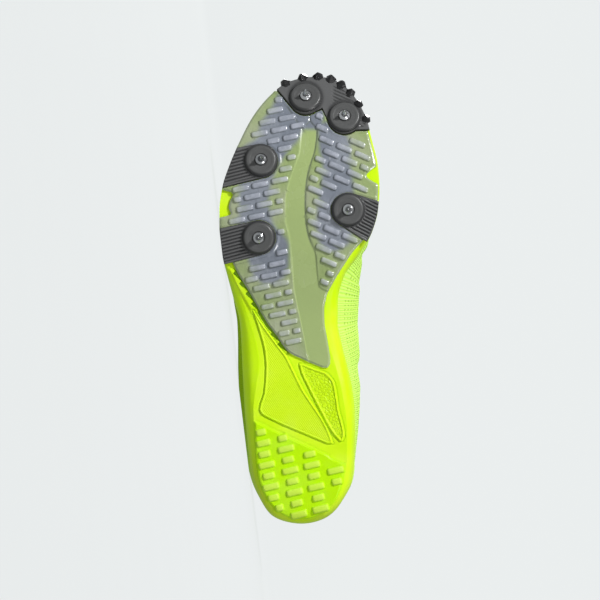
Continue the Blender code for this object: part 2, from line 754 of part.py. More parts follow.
def make_tread():
    """The heel's rubber tread with its lugs."""
    drop = FIT_GAP + TREAD_THICKNESS
    tread = add_object("heel_tread", slab_mesh("heel_tread", TREAD_PLAN, FIT_GAP, drop), "tread_rubber")
    lugs = add_helper("heel_lugs", lugs_mesh("heel_lugs", tread_lug_runs(), drop))
    boolean(tread, lugs, "UNION")
    return tread


def make_plate():
    """The clear forefoot plate: cut away round every pod, with its two fields of lugs."""
    drop = FIT_GAP + PLATE_THICKNESS
    plate = add_object("spike_plate", slab_mesh("spike_plate", PLATE_PLAN, FIT_GAP, drop), "clear_plate")
    for name, spike, back, front, sign in SIDE_PODS[1:]:
        outline = side_pod_outline(spike, back, front, sign, FIT_GAP)
        boolean(plate, add_helper("opening_" + name, prism_mesh(name, outline)), "DIFFERENCE")
    boolean(plate, add_helper("opening_toe_pod", prism_mesh("toe", toe_pod_outline(FIT_GAP))), "DIFFERENCE")
    lugs = add_helper("plate_lugs", lugs_mesh("plate_lugs", plate_lug_runs(), drop))
    boolean(plate, lugs, "UNION")
    return plate


def whole_plan(first, last):
    """A plan that keeps the underside's own two edges."""
    return (("along", "lateral", "medial"), (first, -BEYOND_EDGES, BEYOND_EDGES), (last, -BEYOND_EDGES, BEYOND_EDGES))


def add_boss(pod, spike):
    """Joins the raised seat of a spike to a pod: a low turned boss with a well for the spike's shank."""
    x, y = spike_place(spike)
    well = SPIKE_SHANK_RADIUS + FIT_GAP
    profile = [
        (0.0, BOSS_ROOT + WELL_FLOOR),
        (well, BOSS_ROOT + WELL_FLOOR),
        (well, BOSS_ROOT + BOSS_HEIGHT),
        (BOSS_TOP_RADIUS, BOSS_ROOT + BOSS_HEIGHT),
        (BOSS_RADIUS, BOSS_ROOT + 0.35 * BOSS_HEIGHT),
        (BOSS_RADIUS, 0.0),
        (0.0, 0.0),
    ]
    boss = turned_object("boss_" + spike, profile, None)
    place_under(boss, x, y, FIT_GAP + POD_THICKNESS - BOSS_ROOT)
    boolean(pod, boss, "UNION")


def make_side_pod(name, spike, back, front, sign):
    """A hard pod at the sole's side that carries one spike."""
    drop = FIT_GAP + POD_THICKNESS
    plan = whole_plan(back - POD_SHEET_MARGIN, front + POD_SHEET_MARGIN)
    sheet = slab_mesh(name, plan, FIT_GAP, drop, EDGE_INSET / 2)
    pod = add_object(name, sheet, "hard_black")
    keep = add_helper("plan_" + name, prism_mesh(name, side_pod_outline(spike, back, front, sign)))
    boolean(pod, keep, "INTERSECT")
    add_boss(pod, spike)
    return pod


def edge_walk(count):
    """Plan points spaced evenly along the toe's edge, from its lateral corner round to its medial one."""
    flat_length = SHOE_LENGTH - HEEL_UNDERCUT - TOE_UNDERCUT
    angle = np.linspace(0, math.pi, 721)
    along = (1 - np.cos(angle)) / 2
    x = HEEL_UNDERCUT + flat_length * along
    lateral = BALL_WIDTH * read(SOLE_PLAN, "under_lateral", along, True)
    medial = BALL_WIDTH * read(SOLE_PLAN, "under_medial", along, True)
    first = x >= TOOTH_FIRST * SHOE_LENGTH - 1e-9
    last = x >= TOOTH_LAST * SHOE_LENGTH
    path = np.concatenate(
        [np.column_stack([x[first], lateral[first]]), np.column_stack([x[last], medial[last]])[::-1]]
    )
    travelled = np.concatenate([[0.0], np.cumsum(np.linalg.norm(np.diff(path, axis=0), axis=1))])
    at = np.linspace(0.0, travelled[-1], count)
    return [(float(np.interp(s, travelled, path[:, 0])), float(np.interp(s, travelled, path[:, 1]))) for s in at]


def make_toe_pod():
    """The hard toe piece: two spike seats, and a row of teeth round the toe."""
    drop = FIT_GAP + POD_THICKNESS
    sheet = slab_mesh("toe_pod", whole_plan(0.84, 1.0), FIT_GAP, drop, EDGE_INSET / 2)
    pod = add_object("toe_pod", sheet, "hard_black")
    boolean(pod, add_helper("plan_toe_pod", prism_mesh("toe_plan", toe_pod_outline())), "INTERSECT")
    for spike in ("spike_toe_lateral", "spike_toe_medial"):
        add_boss(pod, spike)
    for i, (x, y) in enumerate(edge_walk(TOOTH_COUNT)):
        work = bmesh.new()
        bmesh.ops.create_cone(
            work,
            cap_ends=True,
            segments=6,
            radius1=TOOTH_RADIUS,
            radius2=TOOTH_TIP_RADIUS,
            depth=TOOTH_HEIGHT,
        )
        mesh = bpy.data.meshes.new(f"tooth_{i}")
        work.to_mesh(mesh)
        work.free()
        tooth = add_helper(f"tooth_{i}", mesh)
        place_under(tooth, x, y, FIT_GAP + 0.0002 + TOOTH_HEIGHT / 2)
        boolean(pod, tooth, "UNION")
    return pod


def make_spike(name):
    """A steel spike: the shank in its well, a collar on the boss and the pin."""
    x, y = spike_place(name)
    shank = BOSS_HEIGHT - WELL_FLOOR
    collar = FIT_GAP + SPIKE_COLLAR_HEIGHT
    profile = [
        (0.0, SPIKE_LENGTH),
        (SPIKE_TIP_RADIUS, SPIKE_LENGTH - 0.0002),
        (SPIKE_CONE_RADIUS, collar + 0.0004),
        (SPIKE_COLLAR_RADIUS - 0.0005, collar),
        (SPIKE_COLLAR_RADIUS, collar - 0.0005),
        (SPIKE_COLLAR_RADIUS, FIT_GAP),
        (SPIKE_SHANK_RADIUS, FIT_GAP),
        (SPIKE_SHANK_RADIUS, -shank + FIT_GAP),
        (0.0, -shank + FIT_GAP),
    ]
    spike = turned_object(name, profile, "steel")
    place_under(spike, x, y, FIT_GAP + POD_THICKNESS + BOSS_HEIGHT)
    return spike


def upper_columns(along):
    """What shapes every column of the upper: feather, belly, shoulder and edge points, and the low overhang."""
    rim = outline_ring(along, "rim", 0.0, SHOE_LENGTH, rim_height)
    normal = outward(rim)
    feather = rim - normal * RIM_INSET
    feather[:, 2] = rim_height(feather[:, 0]) + FEATHER_GAP
    get = {name: read(UPPER_COLUMNS, name, along, True) for name in UPPER_COLUMNS[0][1:]}
    both = {name: around(get[name], get[name])[:, None] for name in ("rise", "shoulder", "fall")}
    belly = around(get["belly_lateral"], get["belly_medial"])[:, None] * BALL_WIDTH
    overhang = around(get["overhang_lateral"], get["overhang_medial"])[:, None] * BALL_WIDTH
    x = SHOE_LENGTH * get["edge_along"]
    lateral = np.column_stack([x, BALL_WIDTH * get["edge_lateral"], INSTEP_HEIGHT * get["height_lateral"]])
    medial = np.column_stack([x, BALL_WIDTH * get["edge_medial"], INSTEP_HEIGHT * get["height_medial"]])
    edge = around(lateral, medial)
    up = np.array([0.0, 0.0, 1.0])
    belly_point = feather + normal * belly + up * both["rise"] * INSTEP_HEIGHT
    shoulder_point = edge + normal * both["shoulder"] * BALL_WIDTH - up * both["fall"] * INSTEP_HEIGHT
    return feather, belly_point, shoulder_point, edge, normal * overhang


def bezier(points, s):
    """A cubic curve through four arrays of control points at the share s."""
    a, b, c, d = points
    return (1 - s) ** 3 * a + 3 * (1 - s) ** 2 * s * b + 3 * (1 - s) * s**2 * c + s**3 * d


def upper_point(columns, s):
    """Points of the upper's outer face at the share s of its columns: a cubic, and an overhang near its foot."""
    swell = s / OVERHANG_PEAK * math.exp(1 - s / OVERHANG_PEAK)
    return bezier(columns[:4], s) + columns[4] * swell


def upper_sheet(stations, rows):
    """The upper's outer face as rings from the feather line to its edge, without repeated end points."""
    columns = upper_columns(even_stations(stations))
    keep = [i for i in range(2 * stations + 2) if i not in (stations + 1, 2 * stations + 1)]
    return [upper_point(columns, s)[keep] for s in rows]


def eyelets(side):
    """Place and outward normal of each eyelet on one side, 0 lateral or 1 medial, from the toe back."""
    found = []
    for along in np.linspace(EYELET_FIRST, EYELET_LAST, EYELET_PAIRS):
        spread = 0.004 * np.arange(-2, 3)
        controls = upper_columns(np.concatenate([[0.0], along + spread, [1.0]]))
        index = 3 if side == 0 else 10
        column = [c[index] for c in controls]
        beside = [c[index + 1 if side == 0 else index - 1] for c in controls]
        s_values = np.linspace(1.0, 0.6, 81)
        line = np.array([upper_point(column, s) for s in s_values])
        run = np.concatenate([[0.0], np.cumsum(np.linalg.norm(np.diff(line, axis=0), axis=1))])
        s = float(np.interp(EYELET_FROM_EDGE, run, s_values))
        place = upper_point(column, s)
        down = upper_point(column, s - 0.02) - place
        forward = upper_point(beside, s) - place
        normal = Vector(np.cross(forward, down)).normalized()
        found.append((Vector(place), normal if normal.z > 0 else -normal))
    return found


def make_upper():
    """The knit upper: one hollow wall, open at the collar, throat and feather line, with its eyelets cut."""
    rings = upper_sheet(SOLE_STATIONS, UPPER_ROWS)
    count = len(rings[0])
    faces = []
    for level in range(len(rings) - 1):
        low, high = level * count, (level + 1) * count
        faces += [(low + i, low + (i + 1) % count, high + (i + 1) % count, high + i) for i in range(count)]
    mesh = tidy_mesh("upper", np.concatenate(rings), faces)
    middle = Vector((SHOE_LENGTH * 0.5, 0.0, INSTEP_HEIGHT * 0.4))
    facing_in = sum((face.center - middle).dot(face.normal) * face.area for face in mesh.polygons) < 0
    if facing_in:
        mesh.flip_normals()
    upper = add_object("upper", mesh, "knit")
    wall = upper.modifiers.new("wall", "SOLIDIFY")
    wall.thickness = UPPER_WALL
    wall.offset = -1.0
    wall.use_even_offset = True
    for side in (0, 1):
        for i, (place, normal) in enumerate(eyelets(side)):
            work = bmesh.new()
            bmesh.ops.create_cone(
                work,
                cap_ends=True,
                segments=8,
                radius1=EYELET_RADIUS,
                radius2=EYELET_RADIUS,
                depth=4 * UPPER_WALL,
            )
            cutter_mesh = bpy.data.meshes.new(f"eyelet_{side}_{i}")
            work.to_mesh(cutter_mesh)
            work.free()
            punch = add_helper(f"eyelet_{side}_{i}", cutter_mesh)
            punch.rotation_mode = "QUATERNION"
            punch.rotation_quaternion = Vector((0, 0, 1)).rotation_difference(normal)
            punch.location = place - normal * UPPER_WALL / 2
            boolean(upper, punch, "DIFFERENCE")
    return upper


def make_insole():
    """The removable insole, inside the upper's wall and on the foam."""
    along = even_stations(SOLE_STATIONS // 2)
    inset = RIM_INSET + UPPER_WALL + INSOLE_CLEARANCE
    rim = outline_ring(along, "rim", 0.0, SHOE_LENGTH, rim_height)
    rings = []
    for lift, taper in ((FIT_GAP, 0.0), (FIT_GAP + INSOLE_THICKNESS, INSOLE_TAPER)):
        ring = rim - outward(rim) * (inset + taper)
        ring[:, 2] = rim_height(ring[:, 0]) + lift
        rings.append(ring)
    return add_object("insole", ring_stack("insole", rings), "lining")


def make_tongue():
    """The tongue: a thin curved sheet under the throat that stands out above it."""
    rows = np.array(TONGUE_PLAN[1:], float)[::-1]
    along = np.linspace(rows[0, 0], rows[-1, 0], 18)
    height, half_width, droop = (smooth_curve(rows[:, 0], rows[:, k], along) for k in (1, 2, 3))
    across = np.linspace(-1.0, 1.0, 9)
    x = np.repeat(SHOE_LENGTH * along[:, None], len(across), axis=1)
    y = BALL_WIDTH * (TONGUE_CENTRE + half_width[:, None] * across)
    z = INSTEP_HEIGHT * (height[:, None] - droop[:, None] * across**2)
    points = np.stack([x, y, z], axis=-1).reshape(-1, 3)
    width = len(across)
    faces = [
        (i * width + j, (i + 1) * width + j, (i + 1) * width + j + 1, i * width + j + 1)
        for i in range(len(along) - 1)
        for j in range(width - 1)
    ]
    mesh = tidy_mesh("tongue", points, faces)
    if sum(face.normal.z for face in mesh.polygons) < 0:
        mesh.flip_normals()
    tongue = add_object("tongue", mesh, "knit")
    wall = tongue.modifiers.new("wall", "SOLIDIFY")
    wall.thickness = TONGUE_THICKNESS
    wall.offset = -1.0
    return tongue


def ribbon_mesh(name, start, end, start_normal, end_normal):
    """One flat lace from eyelet to eyelet, arched over the tongue."""
    a = start + start_normal * LACE_LIFT
    d = end + end_normal * LACE_LIFT
    middle_lift = (start_normal + end_normal).normalized() * LACE_ARCH
    b, c = a + (d - a) * 0.30 + middle_lift, a + (d - a) * 0.70 + middle_lift
    points = []
    for i in range(LACE_STEPS + 1):
        s = i / LACE_STEPS
        centre = bezier((a, b, c, d), s)
        ahead = bezier((a, b, c, d), min(1.0, s + 0.02)) - bezier((a, b, c, d), max(0.0, s - 0.02))
        up = start_normal.lerp(end_normal, s)
        side = ahead.cross(up).normalized()
        up = side.cross(ahead).normalized()
        width = LACE_END_WIDTH if i in (0, LACE_STEPS) else LACE_WIDTH
        half, thin = side * width / 2, up * LACE_THICKNESS / 2
        points += [centre - half - thin, centre + half - thin, centre + half + thin, centre - half + thin]
    faces = [(0, 1, 2, 3), tuple(4 * LACE_STEPS + k for k in (3, 2, 1, 0))]
    for i in range(LACE_STEPS):
        n = 4 * i
        faces += [(n + k, n + 4 + k, n + 4 + (k + 1) % 4, n + (k + 1) % 4) for k in range(4)]
    return tidy_mesh(name, points, faces)


def make_laces():
    """The lace's bar and crossings, joined into one solid. Its ends stop at the top eyelets."""
    lateral, medial = eyelets(0), eyelets(1)
    pairs = [(lateral[0], medial[0])]
    for i in range(EYELET_PAIRS - 1):
        pairs += [(lateral[i], medial[i + 1]), (medial[i], lateral[i + 1])]
    lace = None
    for i, ((start, start_normal), (end, end_normal)) in enumerate(pairs):
        mesh = ribbon_mesh(f"lace_run_{i}", start, end, start_normal, end_normal)
        if lace is None:
            lace = add_object("laces", mesh, "lace")
        else:
            boolean(lace, add_helper(f"lace_run_{i}", mesh), "UNION")
    return lace


def settled_mesh(made):
    """Replaces an object's modifiers by the mesh that they make."""
    graph = bpy.context.evaluated_depsgraph_get()
    mesh = bpy.data.meshes.new_from_object(made.evaluated_get(graph))
    mesh.transform(made.matrix_world)
    made.modifiers.clear()
    made.data = mesh
    made.matrix_world = Matrix.Identity(4)


def mass_centre(pieces):
    """The shoe's centre of mass, from each piece's volume and density."""
    total, moment = 0.0, np.zeros(3)
    for made in pieces:
        mesh = made.data
        mesh.calc_loop_triangles()
        corners = np.array([[mesh.vertices[i].co for i in t.vertices] for t in mesh.loop_triangles])
        volumes = np.einsum("ij,ij->i", corners[:, 0], np.cross(corners[:, 1], corners[:, 2])) / 6
        density = MATERIALS[mesh.materials[0].name][3]
        total += density * volumes.sum()
        moment += density * (corners.sum(axis=1) / 4 * volumes[:, None]).sum(axis=0)
    return moment / total


def lying_turn(pieces):
    """The rotation that lays the shoe on the face of its hull that it rests on by its lateral side."""
    work = bmesh.new()
    for made in pieces:
        work.from_mesh(made.data)
    bmesh.ops.delete(work, geom=work.faces[:], context="FACES_ONLY")
    bmesh.ops.delete(work, geom=work.edges[:], context="EDGES_FACES")
    made = bmesh.ops.convex_hull(work, input=work.verts, use_existing_faces=False)
    centre = Vector(mass_centre(pieces))
    lateral = Vector((0, -1, 0))
    best = None
    for face in (f for f in made["geom"] if isinstance(f, bmesh.types.BMFace)):
        corners = [v.co.copy() for v in face.verts]
        normal = (corners[1] - corners[0]).cross(corners[2] - corners[0])
        if normal.length < 1e-10:
            continue
        normal.normalize()
        if normal.dot(corners[0] - centre) < 0:
            normal.negate()
        foot = centre + normal * normal.dot(corners[0] - centre)
        turns = [
            (q - p).cross(foot - p).dot(normal) for p, q in zip(corners, corners[1:] + corners[:1])
        ]
        stands = min(turns) >= 0 or max(turns) <= 0
        if stands and (best is None or normal.dot(lateral) > best[0]):
            best = (normal.dot(lateral), normal.copy())
    work.free()
    up = -best[1]
    toe = Vector((1, 0, 0)) - up * up.x
    toe.normalize()
    # The toe points to -X, the sole faces -Y and the medial side is up
    return Matrix((-toe, up.cross(-toe), up))


def lay_down(pieces):
    """Parents every piece to an empty that lays the shoe on the floor, and flattens what presses on the floor."""
    turn = lying_turn(pieces)
    corners = np.concatenate([[turn @ v.co for v in made.data.vertices] for made in pieces])
    low, high = corners.min(axis=0), corners.max(axis=0)
    shift = Vector((-(low[0] + high[0]) / 2, -(low[1] + high[1]) / 2, -low[2] - FLOOR_PRESS))
    pose = Matrix.Translation(shift) @ turn.to_4x4()
    holder = bpy.data.objects.new("lying_pose", None)
    bpy.context.scene.collection.objects.link(holder)
    holder.matrix_world = pose
    for made in pieces:
        for vertex in made.data.vertices:
            place = pose @ vertex.co
            if place.z < 0:
                place.z = 0.0
                vertex.co = pose.inverted() @ place
        made.parent = holder


def main():
    for old in list(bpy.data.objects):
        bpy.data.objects.remove(old)
    pieces = [
        make_midsole(),
        make_tread(),
        make_plate(),
        make_toe_pod(),
        *[make_side_pod(*row) for row in SIDE_PODS[1:]],
        *[make_spike(row[0]) for row in SPIKES[1:]],
        make_upper(),
        make_insole(),
        make_tongue(),
        make_laces(),
    ]
    bpy.context.view_layer.update()
    for made in pieces:
        settled_mesh(made)
    bpy.context.view_layer.update()
    lay_down(pieces)


if __name__ == "__main__":
    main()
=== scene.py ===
"""The looks of a right-foot track spike shoe, lying on its outer side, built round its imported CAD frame.

Shapes are worked out in the shoe's own frame, in metres: +X from heel to toe, +Y to the inner (medial) side,
+Z up from the ground under the heel. Two of the record's mounts say where that frame lies in the world.
"""

import json
import math

import bmesh
import bpy
import numpy as np
from mathutils import Matrix, Vector
from mathutils.geometry import convex_hull_2d


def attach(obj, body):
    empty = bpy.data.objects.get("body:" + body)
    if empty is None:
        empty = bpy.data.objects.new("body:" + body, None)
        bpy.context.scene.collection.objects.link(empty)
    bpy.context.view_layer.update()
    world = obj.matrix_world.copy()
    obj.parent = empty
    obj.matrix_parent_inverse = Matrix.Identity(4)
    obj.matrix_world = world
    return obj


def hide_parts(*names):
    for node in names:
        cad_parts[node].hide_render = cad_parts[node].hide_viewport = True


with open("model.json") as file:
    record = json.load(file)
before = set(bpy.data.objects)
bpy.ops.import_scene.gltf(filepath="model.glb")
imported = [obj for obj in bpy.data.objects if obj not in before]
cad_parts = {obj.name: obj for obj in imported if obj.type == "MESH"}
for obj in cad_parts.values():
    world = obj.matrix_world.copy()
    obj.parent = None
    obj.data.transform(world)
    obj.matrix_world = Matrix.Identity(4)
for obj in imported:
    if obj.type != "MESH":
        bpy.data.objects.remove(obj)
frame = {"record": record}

bl_info = {
    "name": "Track spike shoe",
    "version": (1, 0, 0),
    "blender": (4, 5, 0),
    "location": "3D View > Sidebar > Spike shoe",
    "description": "Builds the finished pieces of a track spike shoe over its CAD frame",
    "category": "Object",
}

# Driving sizes of the last and the sole
SHOE_LENGTH = 0.280
BALL_WIDTH = 0.100
INSTEP_HEIGHT = 0.086
HEEL_STACK = 0.022
TOE_SPRING = 0.024
TOE_SPRING_START = 0.68
HEEL_UNDERCUT = 0.0040
TOE_UNDERCUT = 0.0020
FLAT_LENGTH = SHOE_LENGTH - HEEL_UNDERCUT - TOE_UNDERCUT

# Walls, layers and clearances
UPPER_WALL = 0.0022
INSOLE_THICKNESS = 0.0035
INSOLE_CLEARANCE = 0.0013
INSOLE_TAPER = 0.0012
TONGUE_THICKNESS = 0.0022
PLATE_THICKNESS = 0.0016
POD_THICKNESS = 0.0024
POD_RIB_PITCH = 0.0020
TREAD_THICKNESS = 0.0016
SERRATION_PITCH = 0.0225
PANEL_STEP = 0.0008
FIT_GAP = 0.0003
FEATHER_GAP = 0.0004
POD_ROOM = 0.0001
BACK_COARSENESS = 7
RIM_INSET = 0.0012
EDGE_INSET = 0.0006
RIM_CLEARANCE = 0.0002
LEAST_WIDTH = 0.0002
FOOT_ENTRY = (0.062, 0.0, 0.062)

# Soft edges: how far a sheet's face falls at its edge, and over what width
TREAD_EDGE_FALL = 0.0006
TREAD_EDGE_WIDTH = 0.0010
PLATE_EDGE_FALL = 0.0007
PLATE_EDGE_WIDTH = 0.0012
POD_EDGE_RADIUS = 0.0007

# Fine relief: heights and depths, then the half width of its lines
PANEL_LIP = 0.00030
DIAGONAL_LIP = 0.00035
FOAM_GROOVE = 0.00040
FOAM_RIDGE = 0.0010
FOAM_COVE = 0.0005
TREAD_LINE_DEPTH = 0.0005
RIDGE_TOOTH_LOW = 0.0005
RIDGE_TOOTH_REACH = 0.0023
POD_BEAD = 0.0005
CHANNEL_SINK = 0.0003
PLATE_SEAM_DEPTH = 0.0003
SIDE_RIB_DEPTH = 0.0009
TOE_RIB_DEPTH = 0.0006
TOE_RIB_TURN = math.radians(-24)
INSOLE_DISH = 0.0009
OVERLAY_LIFT = 0.00035
BINDING_LIFT = 0.0003
OVERLAY_EDGE = 0.0008
BINDING_EDGE = 0.0006
EYESTAY_WIDTH = 0.0125
BINDING_WIDTH = 0.0040
TOE_GUARD_HEIGHT = 0.0090
TONGUE_BINDING_WIDTH = 0.0030
TONGUE_BINDING_EDGE = 0.0004
TONGUE_PUFF = 0.0004
TONGUE_EDGE_RADIUS = 0.0012
FOAM_LINE = 0.00030
PLATE_LINE = 0.0004

# How many points the meshes have along and across
SOLE_STATIONS = 460
WALL_ROWS = 23
UNDERSIDE_COLUMNS = 146
TREAD_GRID = (92, 85)
PLATE_GRID = (340, 148)
SIDE_POD_STEPS = 420
TOE_POD_STEPS = 560
POD_RINGS = 52
BOSS_STEPS = 72
SPIKE_STEPS = 48
UPPER_STATIONS = 210
UPPER_ROWS = 92
INSOLE_STATIONS = 110
INSOLE_COLUMNS = 40
TONGUE_STATIONS = 120
TONGUE_COLUMNS = 60
LACE_STEPS = 14
LACE_SPAN_STEPS = 10

# Spikes, their bosses and the pods that carry them
POD_RADIUS = 0.0106
BOSS_RADIUS = 0.0102
BOSS_TOP_RADIUS = 0.0088
BOSS_HEIGHT = 0.0022
SPIKE_COLLAR_RADIUS = 0.0034
SPIKE_COLLAR_HEIGHT = 0.0011
SPIKE_CONE_RADIUS = 0.0023
SPIKE_TIP_RADIUS = 0.0004
SPIKE_LENGTH = 0.0075
SPIKE_FOOT = 0.0003
BOSS_DISH_RADIUS = 0.0066
BOSS_LIP_RADIUS = 0.0070
BOSS_ROOT = 0.0010
CHAMFER = 0.0001

# Lugs of the plate and the heel
LUG_LENGTH = 0.0096
LUG_WIDTH = 0.0039
LUG_GROWTH = 0.0007
LUG_HEIGHT = 0.0013
LUG_ALONG_PITCH = 0.0124
LUG_ACROSS_PITCH = 0.0062
LUG_SHORTEST = 0.0034
LUG_MARGIN = 0.0014
LUG_CORNER_RADIUS = 0.0013
LUG_FIELD_MIDDLE = 0.66
LUG_FIELD_FRONT = 0.985
LATERAL_LUG_TURN = math.radians(12)
MEDIAL_LUG_TURN = math.radians(-23)
HEEL_LUG_LENGTHS = (0.0092, 0.0064)
HEEL_LUG_WIDTH = 0.0044
HEEL_LUG_MARGIN = 0.0009
HEEL_COLUMN_PITCH = 0.0140
HEEL_ROW_PITCH = 0.0067
HEEL_LUG_TURN = math.radians(13)
HEEL_COLUMN_DRIFT = 0.20
HEEL_COLUMN_OFFSET = 0.002

# A bar's rounded shoulder, from its foot to its flat top: inset of each ring and its share of the height
LUG_LEVELS = (
    (-0.0005, -0.25),
    (-0.0001, 0.08),
    (0.00015, 0.40),
    (0.00045, 0.72),
    (0.0008, 0.91),
    (0.0013, 1.0),
)

# Teeth round the toe
TOOTH_RADIUS = 0.0039
TOOTH_TIP_RADIUS = 0.0004
TOOTH_HEIGHT = 0.0046
TOOTH_LEAN = 0.0020
TOOTH_SHOULDER_RADIUS = 0.0031
TOOTH_SHOULDER_HEIGHT = 0.0017
TOOTH_BASE_HEIGHT = 0.0007
TOOTH_SEAT = 0.0006
TOOTH_SIDES = 6

# Lacing
EYELET_PAIRS = 6
EYELET_RADIUS = 0.0021
EYELET_FROM_EDGE = 0.0070
EYELET_FIRST = 0.770
EYELET_LAST = 0.430
LACE_WIDTH = 0.0055
LACE_THICKNESS = 0.0012
LACE_CLEARANCE = 0.0016
LACE_SLACK = 0.0012
LACE_WIDE = 1.0
LACE_GATHERED = 0.85
LACE_FOLDED = 0.80
LACE_IN_EYELET = 0.62

# Shares of SHOE_LENGTH, then of BALL_WIDTH: the edges of the flat underside and of the rim above it
SOLE_PLAN = (
    ("along", "under_lateral", "under_medial", "rim_lateral", "rim_medial"),
    (0.00, 0.010, 0.010, 0.010, 0.010),
    (0.02, -0.145, 0.160, -0.180, 0.190),
    (0.05, -0.215, 0.235, -0.240, 0.262),
    (0.10, -0.264, 0.278, -0.296, 0.326),
    (0.15, -0.280, 0.292, -0.318, 0.340),
    (0.20, -0.285, 0.292, -0.332, 0.346),
    (0.25, -0.288, 0.280, -0.345, 0.343),
    (0.30, -0.272, 0.255, -0.353, 0.328),
    (0.35, -0.252, 0.218, -0.360, 0.298),
    (0.40, -0.272, 0.176, -0.366, 0.262),
    (0.45, -0.315, 0.156, -0.376, 0.236),
    (0.50, -0.362, 0.164, -0.412, 0.238),
    (0.55, -0.424, 0.232, -0.450, 0.272),
    (0.60, -0.481, 0.318, -0.484, 0.366),
    (0.65, -0.499, 0.428, -0.500, 0.448),
    (0.70, -0.499, 0.476, -0.500, 0.486),
    (0.75, -0.481, 0.486, -0.483, 0.496),
    (0.80, -0.426, 0.475, -0.438, 0.486),
    (0.85, -0.362, 0.444, -0.378, 0.455),
    (0.90, -0.292, 0.405, -0.308, 0.418),
    (0.95, -0.188, 0.332, -0.204, 0.346),
    (0.98, -0.090, 0.255, -0.104, 0.268),
    (1.00, 0.110, 0.110, 0.110, 0.110),
)

# Shares of SHOE_LENGTH, then of HEEL_STACK: heights of the underside and of the rim, before the toe spring
SOLE_PROFILE = (
    ("along", "under", "rim"),
    (0.00, 0.36, 1.09),
    (0.04, 0.20, 1.05),
    (0.10, 0.16, 1.02),
    (0.20, 0.16, 0.98),
    (0.30, 0.25, 0.93),
    (0.38, 0.36, 0.89),
    (0.46, 0.39, 0.84),
    (0.54, 0.28, 0.77),
    (0.62, 0.17, 0.70),
    (0.70, 0.145, 0.655),
    (0.80, 0.145, 0.64),
    (0.90, 0.145, 0.60),
    (1.00, 0.190, 0.52),
)

# The sidewall between underside (0) and rim (1): shares of its height and of its flare
SIDEWALL = (("up", "out"), (0.00, 0.00), (0.12, 0.45), (0.35, 0.78), (0.62, 0.95), (0.82, 1.00), (1.00, 1.00))

# The upper's columns, from the feather line to the collar and throat edge. Shares of SHOE_LENGTH
# (edge_along), BALL_WIDTH (edge sides, belly, shoulder, overhang) and INSTEP_HEIGHT (heights, rise, fall)
UPPER_COLUMNS = (
    tuple(
        "along edge_along edge_lateral edge_medial height_lateral height_medial belly_lateral belly_medial "
        "overhang_lateral overhang_medial rise shoulder fall".split()
    ),
    (0.00, 0.012, 0.010, 0.010, 1.000, 1.000, 0.040, 0.040, 0.006, 0.006, 0.26, 0.030, 0.24),
    (0.02, 0.016, -0.070, 0.090, 0.985, 0.990, 0.030, 0.030, 0.008, 0.006, 0.25, 0.032, 0.24),
    (0.05, 0.042, -0.160, 0.180, 0.900, 0.915, 0.020, 0.030, 0.010, 0.006, 0.24, 0.036, 0.20),
    (0.10, 0.096, -0.232, 0.252, 0.795, 0.825, 0.012, 0.042, 0.018, 0.006, 0.22, 0.042, 0.17),
    (0.16, 0.160, -0.272, 0.288, 0.722, 0.775, 0.010, 0.052, 0.029, 0.003, 0.22, 0.046, 0.15),
    (0.22, 0.225, -0.292, 0.304, 0.700, 0.765, 0.014, 0.078, 0.030, 0.001, 0.23, 0.050, 0.15),
    (0.28, 0.290, -0.288, 0.302, 0.760, 0.820, 0.022, 0.112, 0.037, 0.000, 0.24, 0.060, 0.16),
    (0.34, 0.355, -0.256, 0.276, 0.880, 0.925, 0.028, 0.150, 0.035, 0.000, 0.26, 0.090, 0.15),
    (0.40, 0.420, -0.200, 0.222, 0.972, 0.992, 0.034, 0.226, 0.028, 0.000, 0.28, 0.140, 0.09),
    (0.46, 0.475, -0.172, 0.198, 0.918, 0.925, 0.036, 0.254, 0.021, 0.000, 0.28, 0.160, 0.045),
    (0.52, 0.525, -0.158, 0.188, 0.852, 0.857, 0.030, 0.268, 0.006, 0.000, 0.27, 0.165, 0.040),
    (0.57, 0.560, -0.150, 0.184, 0.808, 0.812, 0.012, 0.220, 0.000, 0.000, 0.26, 0.168, 0.040),
    (0.61, 0.586, -0.143, 0.179, 0.770, 0.774, 0.004, 0.100, 0.000, 0.000, 0.26, 0.170, 0.040),
    (0.68, 0.630, -0.130, 0.168, 0.712, 0.715, 0.000, 0.008, 0.000, 0.000, 0.25, 0.175, 0.035),
    (0.76, 0.672, -0.108, 0.148, 0.664, 0.665, 0.000, 0.004, 0.000, 0.000, 0.24, 0.180, 0.028),
    (0.84, 0.698, -0.074, 0.116, 0.640, 0.640, 0.002, 0.004, 0.000, 0.000, 0.23, 0.190, 0.020),
    (0.92, 0.712, -0.034, 0.076, 0.630, 0.630, 0.004, 0.006, 0.000, 0.000, 0.19, 0.230, 0.014),
    (1.00, 0.718, 0.022, 0.022, 0.628, 0.628, 0.010, 0.010, 0.000, 0.000, 0.145, 0.330, 0.010),
)
OVERHANG_PEAK = 0.10
EDGE_ROLL = 0.0008
EYELET_RIM_WIDTH = 0.00055
EYELET_RIM_HEIGHT = 0.0005

